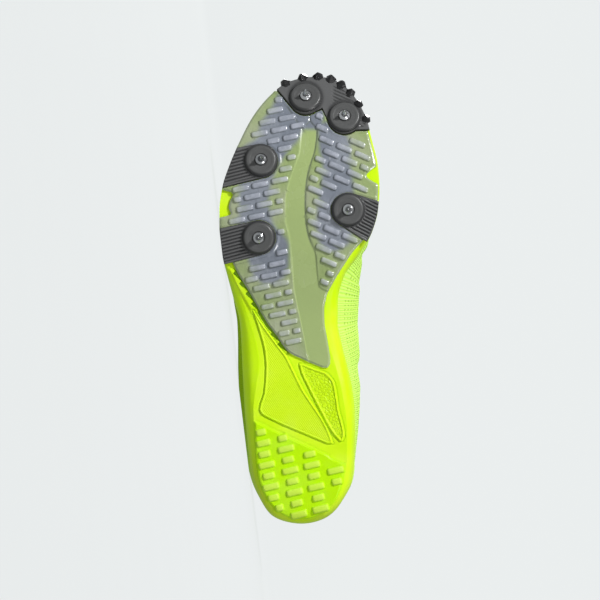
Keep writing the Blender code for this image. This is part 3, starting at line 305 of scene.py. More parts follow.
# Plans on the underside: shares of SHOE_LENGTH and BALL_WIDTH. A side beyond the underside is trimmed to it
PLATE_PLAN = (
    ("along", "lateral", "medial"),
    (0.350, 0.140, 0.172),
    (0.360, 0.070, 0.187),
    (0.370, 0.008, 0.187),
    (0.380, -0.052, 0.184),
    (0.390, -0.085, 0.180),
    (0.420, -0.143, 0.166),
    (0.450, -0.205, 0.152),
    (0.480, -0.255, 0.150),
    (0.520, -0.317, 0.180),
    (0.560, -0.386, 0.240),
    (0.600, -0.445, 0.317),
    (0.640, -0.600, 0.420),
    (0.672, -0.600, 0.500),
    (0.690, -0.428, 0.600),
    (0.704, -0.441, 0.600),
    (0.720, -0.430, 0.600),
    (0.735, -0.412, 0.600),
    (0.754, -0.600, 0.490),
    (0.775, -0.600, 0.412),
    (0.792, -0.600, 0.460),
    (0.812, -0.600, 0.600),
    (1.000, -0.600, 0.600),
)
CHANNEL_PLAN = (
    ("along", "lateral", "medial"),
    (0.35, 0.060, 0.600),
    (0.45, 0.005, 0.600),
    (0.50, -0.025, 0.400),
    (0.53, -0.040, 0.120),
    (0.56, -0.046, 0.108),
    (0.60, -0.056, 0.098),
    (0.64, -0.068, 0.055),
    (0.68, -0.092, 0.035),
    (0.72, -0.092, 0.032),
    (0.76, -0.068, 0.040),
    (0.80, -0.030, 0.065),
    (0.83, -0.003, 0.092),
    (0.875, 0.010, 0.106),
    (0.90, 0.060, 0.062),
    (1.00, 0.060, 0.062),
)
TREAD_PLAN = (
    ("along", "lateral", "medial"),
    (0.000, -0.600, 0.600),
    (0.136, -0.600, 0.600),
    (0.140, -0.600, 0.275),
    (0.160, -0.600, 0.152),
    (0.185, -0.600, 0.000),
    (0.210, -0.600, -0.151),
    (0.231, -0.600, -0.278),
)
ARCH_PANEL_PLAN = (
    ("along", "lateral", "medial"),
    (0.182, 0.168, 0.205),
    (0.201, 0.042, 0.187),
    (0.230, -0.148, 0.150),
    (0.250, -0.245, 0.115),
    (0.258, -0.252, 0.100),
    (0.300, -0.222, 0.022),
    (0.350, -0.214, -0.048),
    (0.375, -0.218, -0.084),
    (0.400, -0.230, -0.136),
    (0.440, -0.262, -0.218),
    (0.478, -0.298, -0.288),
)
GRIP_PANEL_PLAN = (
    ("along", "lateral", "medial"),
    (0.188, 0.248, 0.262),
    (0.200, 0.215, 0.274),
    (0.260, 0.118, 0.238),
    (0.315, 0.040, 0.212),
    (0.338, 0.010, 0.160),
    (0.348, 0.002, 0.085),
    (0.358, -0.006, 0.018),
)
# Where the dark carriers of the spikes show through the clear plate
LATERAL_CARRIER_PLAN = (
    ("along", "lateral", "medial"),
    (0.538, -0.225, -0.165),
    (0.553, -0.280, -0.100),
    (0.584, -0.311, -0.075),
    (0.622, -0.336, -0.075),
    (0.673, -0.373, -0.174),
    (0.722, -0.373, -0.200),
    (0.767, -0.373, -0.174),
    (0.833, -0.355, -0.068),
    (0.856, -0.267, -0.012),
    (0.889, -0.243, 0.019),
    (0.922, -0.180, -0.020),
    (0.955, -0.137, -0.062),
)
MEDIAL_CARRIER_PLAN = (
    ("along", "lateral", "medial"),
    (0.609, 0.180, 0.225),
    (0.627, 0.124, 0.300),
    (0.667, 0.106, 0.325),
    (0.711, 0.112, 0.330),
    (0.756, 0.137, 0.325),
    (0.800, 0.143, 0.310),
    (0.833, 0.124, 0.310),
    (0.860, 0.118, 0.290),
    (0.892, 0.106, 0.168),
)

SADDLE_PLAN = (
    ("along", "lateral", "medial"),
    (0.879, -0.020, 0.135),
    (0.895, -0.060, 0.140),
    (0.920, -0.060, 0.150),
    (0.940, -0.050, 0.150),
)

# Spikes: shares of SHOE_LENGTH and BALL_WIDTH, and the stretch of sole edge that each side pod reaches
SPIKES = {
    "spike_toe_lateral": (0.948, 0.035),
    "spike_toe_medial": (0.904, 0.277),
    "spike_front_lateral": (0.807, -0.243),
    "spike_rear_lateral": (0.638, -0.256),
    "spike_medial": (0.699, 0.298),
}
SIDE_PODS = (
    ("name", "spike", "edge_back", "edge_front", "side_sign"),
    ("pod_front_lateral", "spike_front_lateral", 0.744, 0.834, -1),
    ("pod_rear_lateral", "spike_rear_lateral", 0.577, 0.655, -1),
    ("pod_medial", "spike_medial", 0.627, 0.714, 1),
)
TOE_POD_LATERAL_CORNER = (0.967, -0.145)
TOE_POD_MEDIAL_CORNER = (0.876, 0.440)
TOE_POD_SADDLE = (0.924, 0.137)
TOE_POD_CENTRE = (0.945, 0.150)

# Teeth round the toe: shares of SHOE_LENGTH and BALL_WIDTH
TEETH = (
    (0.980, -0.083),
    (0.993, 0.022),
    (0.995, 0.115),
    (0.988, 0.190),
    (0.976, 0.251),
    (0.959, 0.306),
    (0.934, 0.354),
    (0.901, 0.401),
)

# The tongue: shares of SHOE_LENGTH, INSTEP_HEIGHT (height, droop) and BALL_WIDTH (half_width)
TONGUE_PLAN = (
    ("along", "height", "half_width", "droop"),
    (0.368, 1.068, 0.150, 0.070),
    (0.385, 1.050, 0.195, 0.096),
    (0.420, 1.000, 0.215, 0.112),
    (0.460, 0.940, 0.235, 0.120),
    (0.520, 0.862, 0.225, 0.104),
    (0.580, 0.774, 0.205, 0.086),
    (0.640, 0.678, 0.180, 0.060),
    (0.680, 0.624, 0.150, 0.036),
    (0.710, 0.601, 0.120, 0.014),
    (0.735, 0.593, 0.080, 0.006),
)
TONGUE_CENTRE = 0.014


# Curves and plans


def smooth_curve(x, y, at):
    """A monotone cubic through the points (x, y), read at each value of at."""
    step = np.diff(x)
    slope = np.diff(y) / step
    tangent = np.zeros(len(y))
    tangent[0], tangent[-1] = slope[0], slope[-1]
    before, after = slope[:-1], slope[1:]
    turning = before * after <= 0
    weight_a, weight_b = 2 * step[1:] + step[:-1], step[1:] + 2 * step[:-1]
    safe_before = np.where(turning, 1.0, before)
    safe_after = np.where(turning, 1.0, after)
    mean = (weight_a + weight_b) / (weight_a / safe_before + weight_b / safe_after)
    tangent[1:-1] = np.where(turning, 0.0, mean)
    k = np.clip(np.searchsorted(x, at) - 1, 0, len(step) - 1)
    h = step[k]
    s = np.clip((at - x[k]) / h, 0.0, 1.0)
    return (
        (1 + 2 * s) * (1 - s) ** 2 * y[k]
        + s * (1 - s) ** 2 * h * tangent[k]
        + s**2 * (3 - 2 * s) * y[k + 1]
        - s**2 * (1 - s) * h * tangent[k + 1]
    )


def end_angle(along):
    """Heel-to-toe share as an angle from 0 to pi, so that a curve read against it has round ends."""
    return np.arccos(1 - 2 * np.clip(along, 0.0, 1.0))


def read(table, column, along, round_ends=False):
    """One column of a table at the given shares of the shoe's length."""
    index = table[0].index(column)
    rows = np.array(table[1:], float)
    at = np.asarray(along, float)
    if round_ends:
        return smooth_curve(end_angle(rows[:, 0]), rows[:, index], end_angle(at))
    return smooth_curve(rows[:, 0], rows[:, index], at)


def toe_rise(along):
    """Height that the toe spring adds at a share of the length."""
    past = np.clip((along - TOE_SPRING_START) / (1 - TOE_SPRING_START), 0.0, None)
    return TOE_SPRING * past**2


def level_height(x, level):
    """Height of the foam's underside (under) or of its upper rim (rim)."""
    along = np.clip(np.asarray(x, float) / SHOE_LENGTH, 0.0, 1.0)
    return HEEL_STACK * read(SOLE_PROFILE, level, along) + toe_rise(along)


def sole_edges(level, x):
    """Y of the lateral and medial edges of the flat underside (under) or of the rim at x."""
    heel, length = (HEEL_UNDERCUT, FLAT_LENGTH) if level == "under" else (0.0, SHOE_LENGTH)
    along = np.clip((np.asarray(x, float) - heel) / length, 0.0, 1.0)
    lateral, medial = (read(SOLE_PLAN, f"{level}_{side}", along, True) for side in ("lateral", "medial"))
    return BALL_WIDTH * lateral, BALL_WIDTH * medial


def under_edges(x):
    """Y of the lateral and medial edges of the flat underside at x."""
    return sole_edges("under", x)


def plate_edges(x):
    """Y of the widest reach of the plate at x: the rim beside the toe, else the underside's own edges."""
    lateral_under, medial_under = under_edges(x)
    wrap = smooth_step(x / SHOE_LENGTH, 0.60, 0.64)
    lateral = lateral_under + wrap * (sole_edges("rim", x)[0] - lateral_under) + (1 - wrap) * EDGE_INSET
    return lateral + RIM_CLEARANCE * wrap, medial_under - RIM_CLEARANCE


def under_sole(x, y, depth):
    """Points at a depth below the foam's underside, measured square to it."""
    beside = 0.004
    rise = level_height(x + beside, "under") - level_height(x - beside, "under")
    pitch = np.arctan2(rise, 2 * beside)
    x, y, depth, pitch = np.broadcast_arrays(x, y, depth, pitch)
    height = level_height(x, "under")
    return np.stack([x + depth * np.sin(pitch), y, height - depth * np.cos(pitch)], axis=-1)


def unit(vectors):
    """The same vectors with a length of 1."""
    return vectors / np.linalg.norm(vectors, axis=-1, keepdims=True)


def directions(angles):
    """Unit vectors in plan at the given angles."""
    return np.column_stack([np.cos(angles), np.sin(angles)])


def full_turn(count):
    """Angles of one full turn, evenly apart."""
    return np.linspace(0.0, 2 * math.pi, count, endpoint=False)


def plan_point(along, side):
    """A place in plan from its shares of SHOE_LENGTH and BALL_WIDTH."""
    return np.array([along * SHOE_LENGTH, side * BALL_WIDTH])


def running_total(steps):
    """How far each point of a path is from its start, worked out from the lengths of its steps."""
    return np.concatenate([[0.0], np.cumsum(steps)])


def path_lengths(path):
    """How far each point of a path is from its start."""
    return running_total(np.linalg.norm(np.diff(path, axis=0), axis=1))


def spaced_by(density, values, count, endpoint=True):
    """Values that stand closer together where their density is higher."""
    travelled = running_total((density[1:] + density[:-1]) / 2)
    return np.interp(np.linspace(0.0, travelled[-1], count, endpoint=endpoint), travelled, values)


def even_stations(count):
    """Shares of length that stand evenly along the sole's outline, so that its round ends are fine too."""
    angle = np.linspace(0.0, math.pi, 721)
    along = (1 - np.cos(angle)) / 2
    width = read(SOLE_PLAN, "rim_medial", along, True) - read(SOLE_PLAN, "rim_lateral", along, True)
    run = np.hypot(np.diff(along) * SHOE_LENGTH, np.diff(width) * BALL_WIDTH / 2)
    travelled = running_total(run)
    return np.interp(np.linspace(0.0, travelled[-1], count + 1), travelled, along)


def around(lateral, medial):
    """One closed ring: heel to toe on the lateral side, then back on the medial side."""
    return np.concatenate([lateral, medial[::-1]])


def outline_ring(along, level):
    """The sole's outline as a ring of points. level is under or rim."""
    x = HEEL_UNDERCUT + FLAT_LENGTH * along if level == "under" else SHOE_LENGTH * along
    lateral = BALL_WIDTH * read(SOLE_PLAN, level + "_lateral", along, True)
    medial = BALL_WIDTH * read(SOLE_PLAN, level + "_medial", along, True)
    z = level_height(x, level)
    return around(np.column_stack([x, lateral, z]), np.column_stack([x, medial, z]))


def outward(ring):
    """Unit normals of a ring in plan, pointing away from its inside. A repeated point shares one normal."""
    single = np.linalg.norm(ring - np.roll(ring, 1, axis=0), axis=1) > 1e-7
    path = ring[single]
    run = np.roll(path, -1, axis=0)[:, :2] - np.roll(path, 1, axis=0)[:, :2]
    normal = np.column_stack([run[:, 1], -run[:, 0]])
    normal = unit(normal)
    if ((path[:, :2] - path[:, :2].mean(axis=0)) * normal).sum() < 0:
        normal = -normal
    spread = normal[np.cumsum(single) - 1]
    return np.column_stack([spread, np.zeros(len(ring))])


def smooth_step(value, low, high):
    """0 below low, 1 above high and a smooth rise between them."""
    share = np.clip((value - low) / (high - low), 0.0, 1.0)
    return share * share * (3 - 2 * share)


def bump_at(value, middle, width):
    """A bell of height 1 round a middle value."""
    return np.exp(-(((value - middle) / width) ** 2))


def between(value, start, full, fading, end):
    """1 between full and fading, 0 before start and past end, and a smooth change between them."""
    return smooth_step(value, start, full) * (1 - smooth_step(value, fading, end))


def trimmed_sides(plan, x, edges, inset=0.0):
    """Y of a plan's lateral and medial sides at x, trimmed to the edges that a function gives."""
    lateral_edge, medial_edge = edges(x)
    lateral = np.maximum(BALL_WIDTH * read(plan, "lateral", x / SHOE_LENGTH), lateral_edge + inset)
    medial = np.minimum(BALL_WIDTH * read(plan, "medial", x / SHOE_LENGTH), medial_edge - inset)
    return lateral, np.maximum(medial, lateral + LEAST_WIDTH)


def plan_outline(plan, steps=60, inset=0.0, edges=under_edges):
    """A plan as a closed outline in metres, trimmed to the underside or to other edges."""
    x = np.linspace(plan[1][0], plan[-1][0], steps) * SHOE_LENGTH
    x = np.clip(x, HEEL_UNDERCUT + inset, SHOE_LENGTH - TOE_UNDERCUT - inset)
    lateral, medial = trimmed_sides(plan, x, edges, inset)
    return around(np.column_stack([x, lateral]), np.column_stack([x, medial]))


def depth_inside(outline, x, y):
    """How far each point lies inside a closed outline, negative outside: the distance to its nearest edge."""
    start = np.asarray(outline, float)
    start = start[np.linalg.norm(start - np.roll(start, 1, axis=0), axis=1) > 1e-7]
    end = np.roll(start, -1, axis=0)
    shape = np.shape(x)
    x, y = np.ravel(x), np.ravel(y)
    nearest = np.full(x.shape, np.inf)
    inside = np.zeros(x.shape, bool)
    for (xa, ya), (xb, yb) in zip(start, end):
        run = np.array([xb - xa, yb - ya])
        share = np.clip(((x - xa) * run[0] + (y - ya) * run[1]) / (run @ run), 0.0, 1.0)
        nearest = np.minimum(nearest, np.hypot(x - xa - share * run[0], y - ya - share * run[1]))
        if ya != yb:
            crosses = ((ya > y) != (yb > y)) & (x < (xb - xa) * (y - ya) / (yb - ya) + xa)
            inside ^= crosses
    return np.where(inside, nearest, -nearest).reshape(shape)


# Meshes


def shoe_pose():
    """Rotation and shift from the shoe's frame to the world, read from two of the record's mounts."""
    mounts = {m["name"]: m for m in frame["record"]["mounts"]}
    toe, entry = mounts["toe_tip"], mounts["foot_entry"]
    ahead = unit(np.array(toe["axis"], float))
    up = np.array(entry["axis"], float)
    up = unit(up - ahead * (up @ ahead))
    turn = np.column_stack([ahead, np.cross(up, ahead), up])
    return turn, np.array(entry["pos_m"], float) - turn @ np.array(FOOT_ENTRY)


TURN, SHIFT = shoe_pose()


def to_world(points):
    """Points of the shoe's frame in the world."""
    return np.asarray(points, float) @ TURN.T + SHIFT


def grid_faces(rows, columns, closed=False):
    """Quads of a grid of points. Where closed is true its last column joins its first."""
    index = np.arange(rows * columns).reshape(rows, columns)
    nearer = index if closed else index[:, :-1]
    further = np.roll(index, -1, axis=1) if closed else index[:, 1:]
    return np.stack([nearer[:-1], further[:-1], further[1:], nearer[1:]], axis=-1).reshape(-1, 4)


def tube(sections, capped=False, **marks):
    """One part of a mesh: closed sections joined one after the other, each mark a value for every point."""
    sections = np.asarray(sections, float)
    rows, columns = sections.shape[:2]
    faces = grid_faces(rows, columns, True).tolist()
    if capped:
        last = (rows - 1) * columns
        faces += [list(range(columns)), list(range(last, last + columns))]
    values = {name: np.broadcast_to(mark, (rows, columns)).ravel() for name, mark in marks.items()}
    return sections.reshape(-1, 3), faces, values


def piece_mesh(name, parts, marks):
    """One mesh from several parts in the shoe's frame, placed in the world, its doubles merged."""
    points = np.concatenate([part[0] for part in parts])
    faces, start = [], 0
    for part in parts:
        faces += [[i + start for i in face] for face in part[1]]
        start += len(part[0])
    mesh = bpy.data.meshes.new(name)
    world = to_world(points)
    world[:, 2] = np.maximum(world[:, 2], 0.0)
    mesh.from_pydata(world.tolist(), [], faces)
    place = mesh.attributes.new("shoe", "FLOAT_VECTOR", "POINT")
    place.data.foreach_set("vector", points.astype(np.float32).ravel())
    for mark in marks:
        values = [np.asarray(part[2].get(mark, np.zeros(len(part[0])))) for part in parts]
        layer = mesh.attributes.new(mark, "FLOAT", "POINT")
        layer.data.foreach_set("value", np.concatenate(values).astype(np.float32))
    work = bmesh.new()
    work.from_mesh(mesh)
    bmesh.ops.remove_doubles(work, verts=work.verts, dist=2e-6)
    bmesh.ops.dissolve_degenerate(work, edges=work.edges, dist=1e-7)
    bmesh.ops.recalc_face_normals(work, faces=work.faces)
    work.to_mesh(mesh)
    work.free()
    mesh.validate()
    return mesh


def new_object(name, data):
    """An object in the scene that shows the given data."""
    made = bpy.data.objects.new(name, data)
    bpy.context.scene.collection.objects.link(made)
    return made


def add_piece(name, mesh, finish, nodes, sharp_angle=35.0):
    """Links a finished mesh as a piece that rides on the shoe and stands for its CAD nodes."""
    mesh.shade_smooth()
    mesh.set_sharp_from_angle(angle=math.radians(sharp_angle))
    made = new_object(name, mesh)
    made.data.materials.append(finish)
    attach(made, "root")
    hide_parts(*nodes)
    return made


def applied(made):
    """Replaces an object's modifiers by the mesh that they make, and gives that mesh."""
    graph = bpy.context.evaluated_depsgraph_get()
    mesh = bpy.data.meshes.new_from_object(made.evaluated_get(graph))
    made.modifiers.clear()
    return mesh


def cut_away(mesh, cutters):
    """The mesh with closed cutter meshes taken out of it by an exact Boolean."""
    body = new_object("body_to_cut", mesh)
    helpers = []
    for i, cutter_mesh in enumerate(cutters):
        cutter = new_object(f"cutter_{i}", cutter_mesh)
        modifier = body.modifiers.new(f"cut_{i}", "BOOLEAN")
        modifier.operation = "DIFFERENCE"
        modifier.solver = "EXACT"
        modifier.object = cutter
        helpers.append(cutter)
    bpy.context.view_layer.update()
    mesh = applied(body)
    for helper in [body, *helpers]:
        bpy.data.objects.remove(helper)
    return mesh


def joined(name, meshes):
    """Several meshes as one, their marks kept."""
    work = bmesh.new()
    for mesh in meshes:
        work.from_mesh(mesh)
    made = bpy.data.meshes.new(name)
    work.to_mesh(made)
    work.free()
    return made


def prism(outline, low=-0.05, high=0.10):
    """An upright prism on a plan outline."""
    outline = np.asarray(outline, float)
    level = np.ones((len(outline), 1))
    return tube([np.hstack([outline, level * z]) for z in (low, high)], capped=True)


def turned(profile, x, y, depth, steps, start_angle=0.0, **marks):
    """A turned body under the sole: (radius, height) pairs carried round an axis square to the underside."""
    profile = np.asarray(profile, float)
    centre = under_sole(np.array(x), np.array(y), np.array(depth))
    normal = under_sole(np.array(x), np.array(y), np.array(depth + 1.0)) - centre
    ahead = np.cross([0.0, 1.0, 0.0], normal)
    angle = start_angle + full_turn(steps)
    ring = np.cos(angle)[:, None] * ahead + np.sin(angle)[:, None] * np.array([0.0, 1.0, 0.0])
    sections = centre + profile[:, 0, None, None] * ring + profile[:, 1, None, None] * normal
    return tube(sections, **marks)


def rounded(corners, radius, steps=4):
    """A profile with each inner corner replaced by a short arc, drawn as a quadratic curve."""
    corners = np.asarray(corners, float)
    points = [corners[0]]
    for before, corner, after in zip(corners, corners[1:], corners[2:]):
        back, ahead = before - corner, after - corner
        cut = min(radius, 0.45 * np.linalg.norm(back), 0.45 * np.linalg.norm(ahead))
        first = corner + unit(back) * cut
        last = corner + unit(ahead) * cut
        for s in np.linspace(0.0, 1.0, steps):
            points.append((1 - s) ** 2 * first + 2 * s * (1 - s) * corner + s**2 * last)
    points.append(corners[-1])
    return np.array(points)


# Lugs


def pod_outline(spike, edge_back, edge_front, sign, grow=0.0):
    """A side pod in plan: the round seat of its spike, drawn out to a stretch of the sole's edge."""
    overhang = 0.004
    seat = plan_point(*SPIKES[spike]) + (POD_RADIUS + grow) * directions(full_turn(72))
    x = np.array([edge_back * SHOE_LENGTH - grow, edge_front * SHOE_LENGTH + grow])
    edge = under_edges(x)[0 if sign < 0 else 1] + sign * overhang
    points = np.vstack([seat, np.column_stack([x, edge])])
    return points[convex_hull_2d([Vector(p) for p in points])]


def toe_pod_outline(grow=0.0):
    """The toe pod in plan: all the toe ahead of a rear edge that runs round its two spike seats."""

    def seat(spike, first, last, steps):
        angles = np.radians(np.linspace(first, last, steps))
        return plan_point(*SPIKES[spike]) + (POD_RADIUS + grow) * directions(angles)

    past_toe, side = SHOE_LENGTH + 0.010, 0.75 * BALL_WIDTH
    lateral, medial, saddle = (
        plan_point(*corner) - (grow, 0.0)
        for corner in (TOE_POD_LATERAL_CORNER, TOE_POD_MEDIAL_CORNER, TOE_POD_SADDLE)
    )
    return np.vstack(
        [
            [(past_toe, side), (past_toe, -side), (lateral[0] + 0.012, -side), lateral],
            seat("spike_toe_lateral", 235, 142, 24),
            [saddle],
            seat("spike_toe_medial", 262, 140, 30),
            [medial, (medial[0], side)],
        ]
    )


def near_pod(x, y, margin):
    """True where a point lies on a pod or within a margin of one."""
    found = depth_inside(toe_pod_outline(margin), x, y) > 0
    for _, spike, back, front, sign in SIDE_PODS[1:]:
        found |= depth_inside(pod_outline(spike, back, front, sign, margin), x, y) > 0
    return found


def lug_ends(centres, turn, length, allowed):
    """The two ends of each lug's longest stretch on allowed ground."""
    steps = 13
    direction = np.array([math.sin(turn), math.cos(turn)])
    shares = np.arange(steps) / (steps - 1) - 0.5
    places = centres[:, None, :] + shares[None, :, None] * length * direction
    fits = allowed(places[..., 0], places[..., 1])
    ends = []
    for line, good in zip(places, fits):
        edges = np.flatnonzero(np.diff(np.concatenate([[0], good.astype(int), [0]])))
        runs = [(b - 1 - a, a, b - 1) for a, b in zip(edges[::2], edges[1::2])]
        if runs:
            span, first, last = max(runs, key=lambda run: (run[0], -run[1]))
            if span * length / (steps - 1) >= LUG_SHORTEST:
                ends.append((line[first], line[last]))
    return ends


def plate_lugs():
    """The plate's two fields of lugs, laid like bricks on either side of the smooth channel."""
    ends = []
    for field, turn in (("lateral", LATERAL_LUG_TURN), ("medial", MEDIAL_LUG_TURN)):

        def allowed(x, y, field=field):
            along = x / SHOE_LENGTH
            low, high = trimmed_sides(PLATE_PLAN, x, under_edges)
            margin = EDGE_INSET + LUG_MARGIN
            good = (along > PLATE_PLAN[1][0]) & (along < LUG_FIELD_FRONT)
            good &= (y > low + margin) & (y < high - margin)
            channel = BALL_WIDTH * read(CHANNEL_PLAN, field, along)
            good &= y < channel - LUG_MARGIN if field == "lateral" else y > channel + LUG_MARGIN
            return good & ~near_pod(x, y, LUG_MARGIN + FIT_GAP)

        along_bar = np.array([math.sin(turn), math.cos(turn)])
        across_bar = np.array([math.cos(turn), -math.sin(turn)])
        row, place = np.meshgrid(np.arange(-18, 19), np.arange(-8, 9), indexing="ij")
        shift = (place + 0.5 * (row % 2)) * LUG_ALONG_PITCH
        centres = plan_point(LUG_FIELD_MIDDLE, 0.0) + shift[..., None] * along_bar
        centres = centres + (row * LUG_ACROSS_PITCH)[..., None] * across_bar
        ends += lug_ends(centres.reshape(-1, 2), turn, LUG_LENGTH, allowed)
    return ends


def tread_lugs():
    """The heel's lugs: drifting columns of long and short bars."""
    front = TREAD_PLAN[-1][0] * SHOE_LENGTH

    def allowed(x, y):
        margin = EDGE_INSET + HEEL_LUG_MARGIN
        low, high = trimmed_sides(TREAD_PLAN, x, under_edges)
        good = (x > HEEL_UNDERCUT + margin) & (x < front)
        return good & (y > low + margin) & (y < high - margin)

    ends = []
    for parity, length in enumerate(HEEL_LUG_LENGTHS):
        column, row = np.meshgrid(np.arange(-4, 4), np.arange(parity, 12, 2), indexing="ij")
        x = front - (row + 0.5 * (column % 2)) * HEEL_ROW_PITCH
        y = HEEL_COLUMN_OFFSET + column * HEEL_COLUMN_PITCH + HEEL_COLUMN_DRIFT * (front - x)
        centres = np.stack([x, y], axis=-1).reshape(-1, 2)
        ends += lug_ends(centres, HEEL_LUG_TURN, length, allowed)
    return ends


def lug_bars(ends, drop, height, wide):
    """Rounded bars under the sole: a bar's rings shrink over its rounded shoulders towards its flat top."""
    corner = np.linspace(0.0, math.pi / 2, 5)
    turns = np.concatenate([corner + quarter * math.pi / 2 for quarter in range(4)])
    long_side = np.repeat([1, -1, -1, 1], len(corner))
    wide_side = np.repeat([1, 1, -1, -1], len(corner))
    parts = []
    for a, b in ends:
        ahead = unit(b - a)
        across = np.array([ahead[1], -ahead[0]])
        middle, half = (a + b) / 2, np.linalg.norm(b - a) / 2 + LUG_GROWTH
        rings = []
        for inset, up in LUG_LEVELS:
            half_wide = wide / 2 - inset
            radius = min(LUG_CORNER_RADIUS, 0.96 * half_wide)
            u = long_side * (half - inset - radius) + radius * np.cos(turns)
            v = wide_side * (half_wide - radius) + radius * np.sin(turns)
            spot = middle + u[:, None] * ahead + v[:, None] * across
            rings.append(under_sole(spot[:, 0], spot[:, 1], np.full(len(u), drop + up * height)))
        tops = np.repeat([[up] for _, up in LUG_LEVELS], len(turns), axis=1)
        parts.append(tube(rings, capped=True, lug=tops))
    return parts


# The sole


def serration(along):
    """Saw-tooth share of the foam's ridge beside the plate: two toothed stretches, a smooth one between."""
    phase = ((along - 0.385) / SERRATION_PITCH) % 1.0
    teeth = np.where(phase < 0.7, phase / 0.7, (1 - phase) / 0.3)
    smooth = between(along, 0.425, 0.435, 0.470, 0.480)
    return teeth * (1 - smooth) + 0.55 * smooth


def nearer_medial(plan, x, y):
    """1 where a point is nearer to the medial side of a plan than to its lateral side."""
    along = np.clip(x / SHOE_LENGTH, plan[1][0], plan[-1][0])
    to_lateral = np.abs(y - BALL_WIDTH * read(plan, "lateral", along))
    to_medial = np.abs(y - BALL_WIDTH * read(plan, "medial", along))
    return (to_medial < to_lateral).astype(float)


def foam_relief(x, y):
    """Depth of the foam's relief below its flat underside: two edged panels and the serrated ridge."""
    arch = depth_inside(plan_outline(ARCH_PANEL_PLAN, 120), x, y)
    grip = depth_inside(plan_outline(GRIP_PANEL_PLAN, 120), x, y)
    tread = depth_inside(plan_outline(TREAD_PLAN), x, y)
    plate = depth_inside(plan_outline(PLATE_PLAN, 120), x, y)
    along = x / SHOE_LENGTH
    diagonal = nearer_medial(ARCH_PANEL_PLAN, x, y) * smooth_step(along, 0.20, 0.22)
    relief = PANEL_STEP * smooth_step(arch, 0.0, 0.0006)
    relief += (PANEL_LIP + DIAGONAL_LIP * diagonal) * bump_at(arch, 0.0008, 0.0005)
    groove = bump_at(arch, -0.0004, FOAM_LINE)
    inner_line = 0.6 * bump_at(arch, 0.0015, 0.00025) * (1 - diagonal) * (1 - smooth_step(along, 0.24, 0.26))
    rim = between(grip, -0.0002, 0.0003, 0.0010, 0.0013)
    relief += (PANEL_STEP + 0.0002) * rim + 0.0004 * smooth_step(grip, 0.0010, 0.0013)
    grip_groove = bump_at(grip, -0.0006, FOAM_LINE)
    relief -= FOAM_GROOVE * np.maximum(np.maximum(groove, grip_groove), 0.6 * inner_line)
    tread_line = 0.4 * bump_at(tread, -0.0009, 0.0004) * (x > 0.155 * SHOE_LENGTH)
    relief -= TREAD_LINE_DEPTH * tread_line
    edge_lateral, edge_medial = under_edges(x)
    from_edge = np.minimum(y - edge_lateral, edge_medial - y)
    teeth = RIDGE_TOOTH_LOW + RIDGE_TOOTH_REACH * serration(along)
    lateral_side = smooth_step(-y, 0.004, 0.008)
    stretch = between(along, 0.375, 0.385, 0.560, 0.575)
    ridge = smooth_step(-plate - teeth, -0.0001, 0.0003)
    breadth = 1 - smooth_step(-plate, 0.0038, 0.0062)
    relief += FOAM_RIDGE * ridge * breadth * lateral_side * stretch * smooth_step(-arch, -0.0002, 0.0004)
    cove = (1 - ridge) * smooth_step(-plate, -0.0010, 0.0) * lateral_side * stretch
    relief -= FOAM_COVE * cove
    fade = smooth_step(from_edge, 0.0, 0.0012)
    hidden = smooth_step(np.maximum(plate, tread), 0.0, 0.0006)
    line = np.max([groove * (1 - 0.8 * diagonal), grip_groove, inner_line, tread_line], axis=0)
    marks = {
        "dotted": smooth_step(arch, 0.0012, 0.0016),
        "crackle": smooth_step(grip, 0.0012, 0.0015),
        # Painted shade: the cove beside the plate and the panels' grooves are marked to be drawn darker.
        "cove": np.maximum(cove, 0.40 * line),
        # Painted highlight: the arch panel's diagonal lip and the grip panel's rim are marked to be drawn
        # lighter.
        "light": np.maximum(diagonal * bump_at(arch, 0.0008, 0.0006), rim),
    }
    return relief * fade * (1 - hidden), marks


def midsole_stations():
    """Shares of length for the foam's sections: close together over the arch, wider apart elsewhere."""
    even = even_stations(1500)
    return spaced_by(0.36 + between(even, 0.14, 0.17, 0.60, 0.64), even, SOLE_STATIONS)


def make_midsole(settings):
    """The foam: sections down the flared sidewall, across the relief of the underside and up again."""
    along = midsole_stations()
    under, rim = (outline_ring(along, level) for level in ("under", "rim"))
    count = len(along)
    sides = {}
    up = np.linspace(0.0, 1.0, WALL_ROWS) ** 1.3
    rows = np.array(SIDEWALL[1:], float)
    out = smooth_curve(rows[:, 0], rows[:, 1], up)
    for side, pick in (("lateral", slice(0, count)), ("medial", slice(count, None))):
        low, high = under[pick], rim[pick]
        if side == "medial":
            low, high = low[::-1], high[::-1]
        wall = low[:, None, :] + (high - low)[:, None, :] * out[None, :, None]
        wall[..., 2] = low[:, None, 2] + (high - low)[:, None, 2] * up[None, :]
        sides[side] = wall
    across = np.linspace(0.0, 1.0, UNDERSIDE_COLUMNS)[None, 1:-1]
    x = np.repeat(under[:count, 0, None], across.shape[1], axis=1)
    low_edge, high_edge = sides["lateral"][:, 0, 1, None], sides["medial"][:, 0, 1, None]
    y = low_edge + (high_edge - low_edge) * across
    relief, marks = foam_relief(x, y)
    bottom = under_sole(x, y, relief)
    top_share = np.linspace(0.0, 1.0, 10)[None, 1:-1, None]
    top = sides["medial"][:, -1:, :] * (1 - top_share) + sides["lateral"][:, -1:, :] * top_share
    sections = np.concatenate([sides["lateral"][:, ::-1], bottom, sides["medial"], top], axis=1)
    walls = np.zeros((count, len(up)))
    lid = np.zeros((count, top.shape[1]))
    spread = {name: np.hstack([walls, mark, walls, lid]) for name, mark in marks.items()}
    # Painted light: the lateral sidewall is marked for a brighter green of its own, which lifts it where the
    # lamps leave it in shade.
    lateral_wall = np.zeros(sections.shape[1])
    lateral_wall[: len(up)] = np.linspace(1.0, 0.8, len(up))
    flank = between(along, 0.06, 0.20, 0.58, 0.66)[:, None] * lateral_wall
    mesh = piece_mesh("midsole", [tube(sections, flank=flank, **spread)], (*marks, "flank"))
    return add_piece("midsole_foam", mesh, foam_finish(settings), ["midsole"])


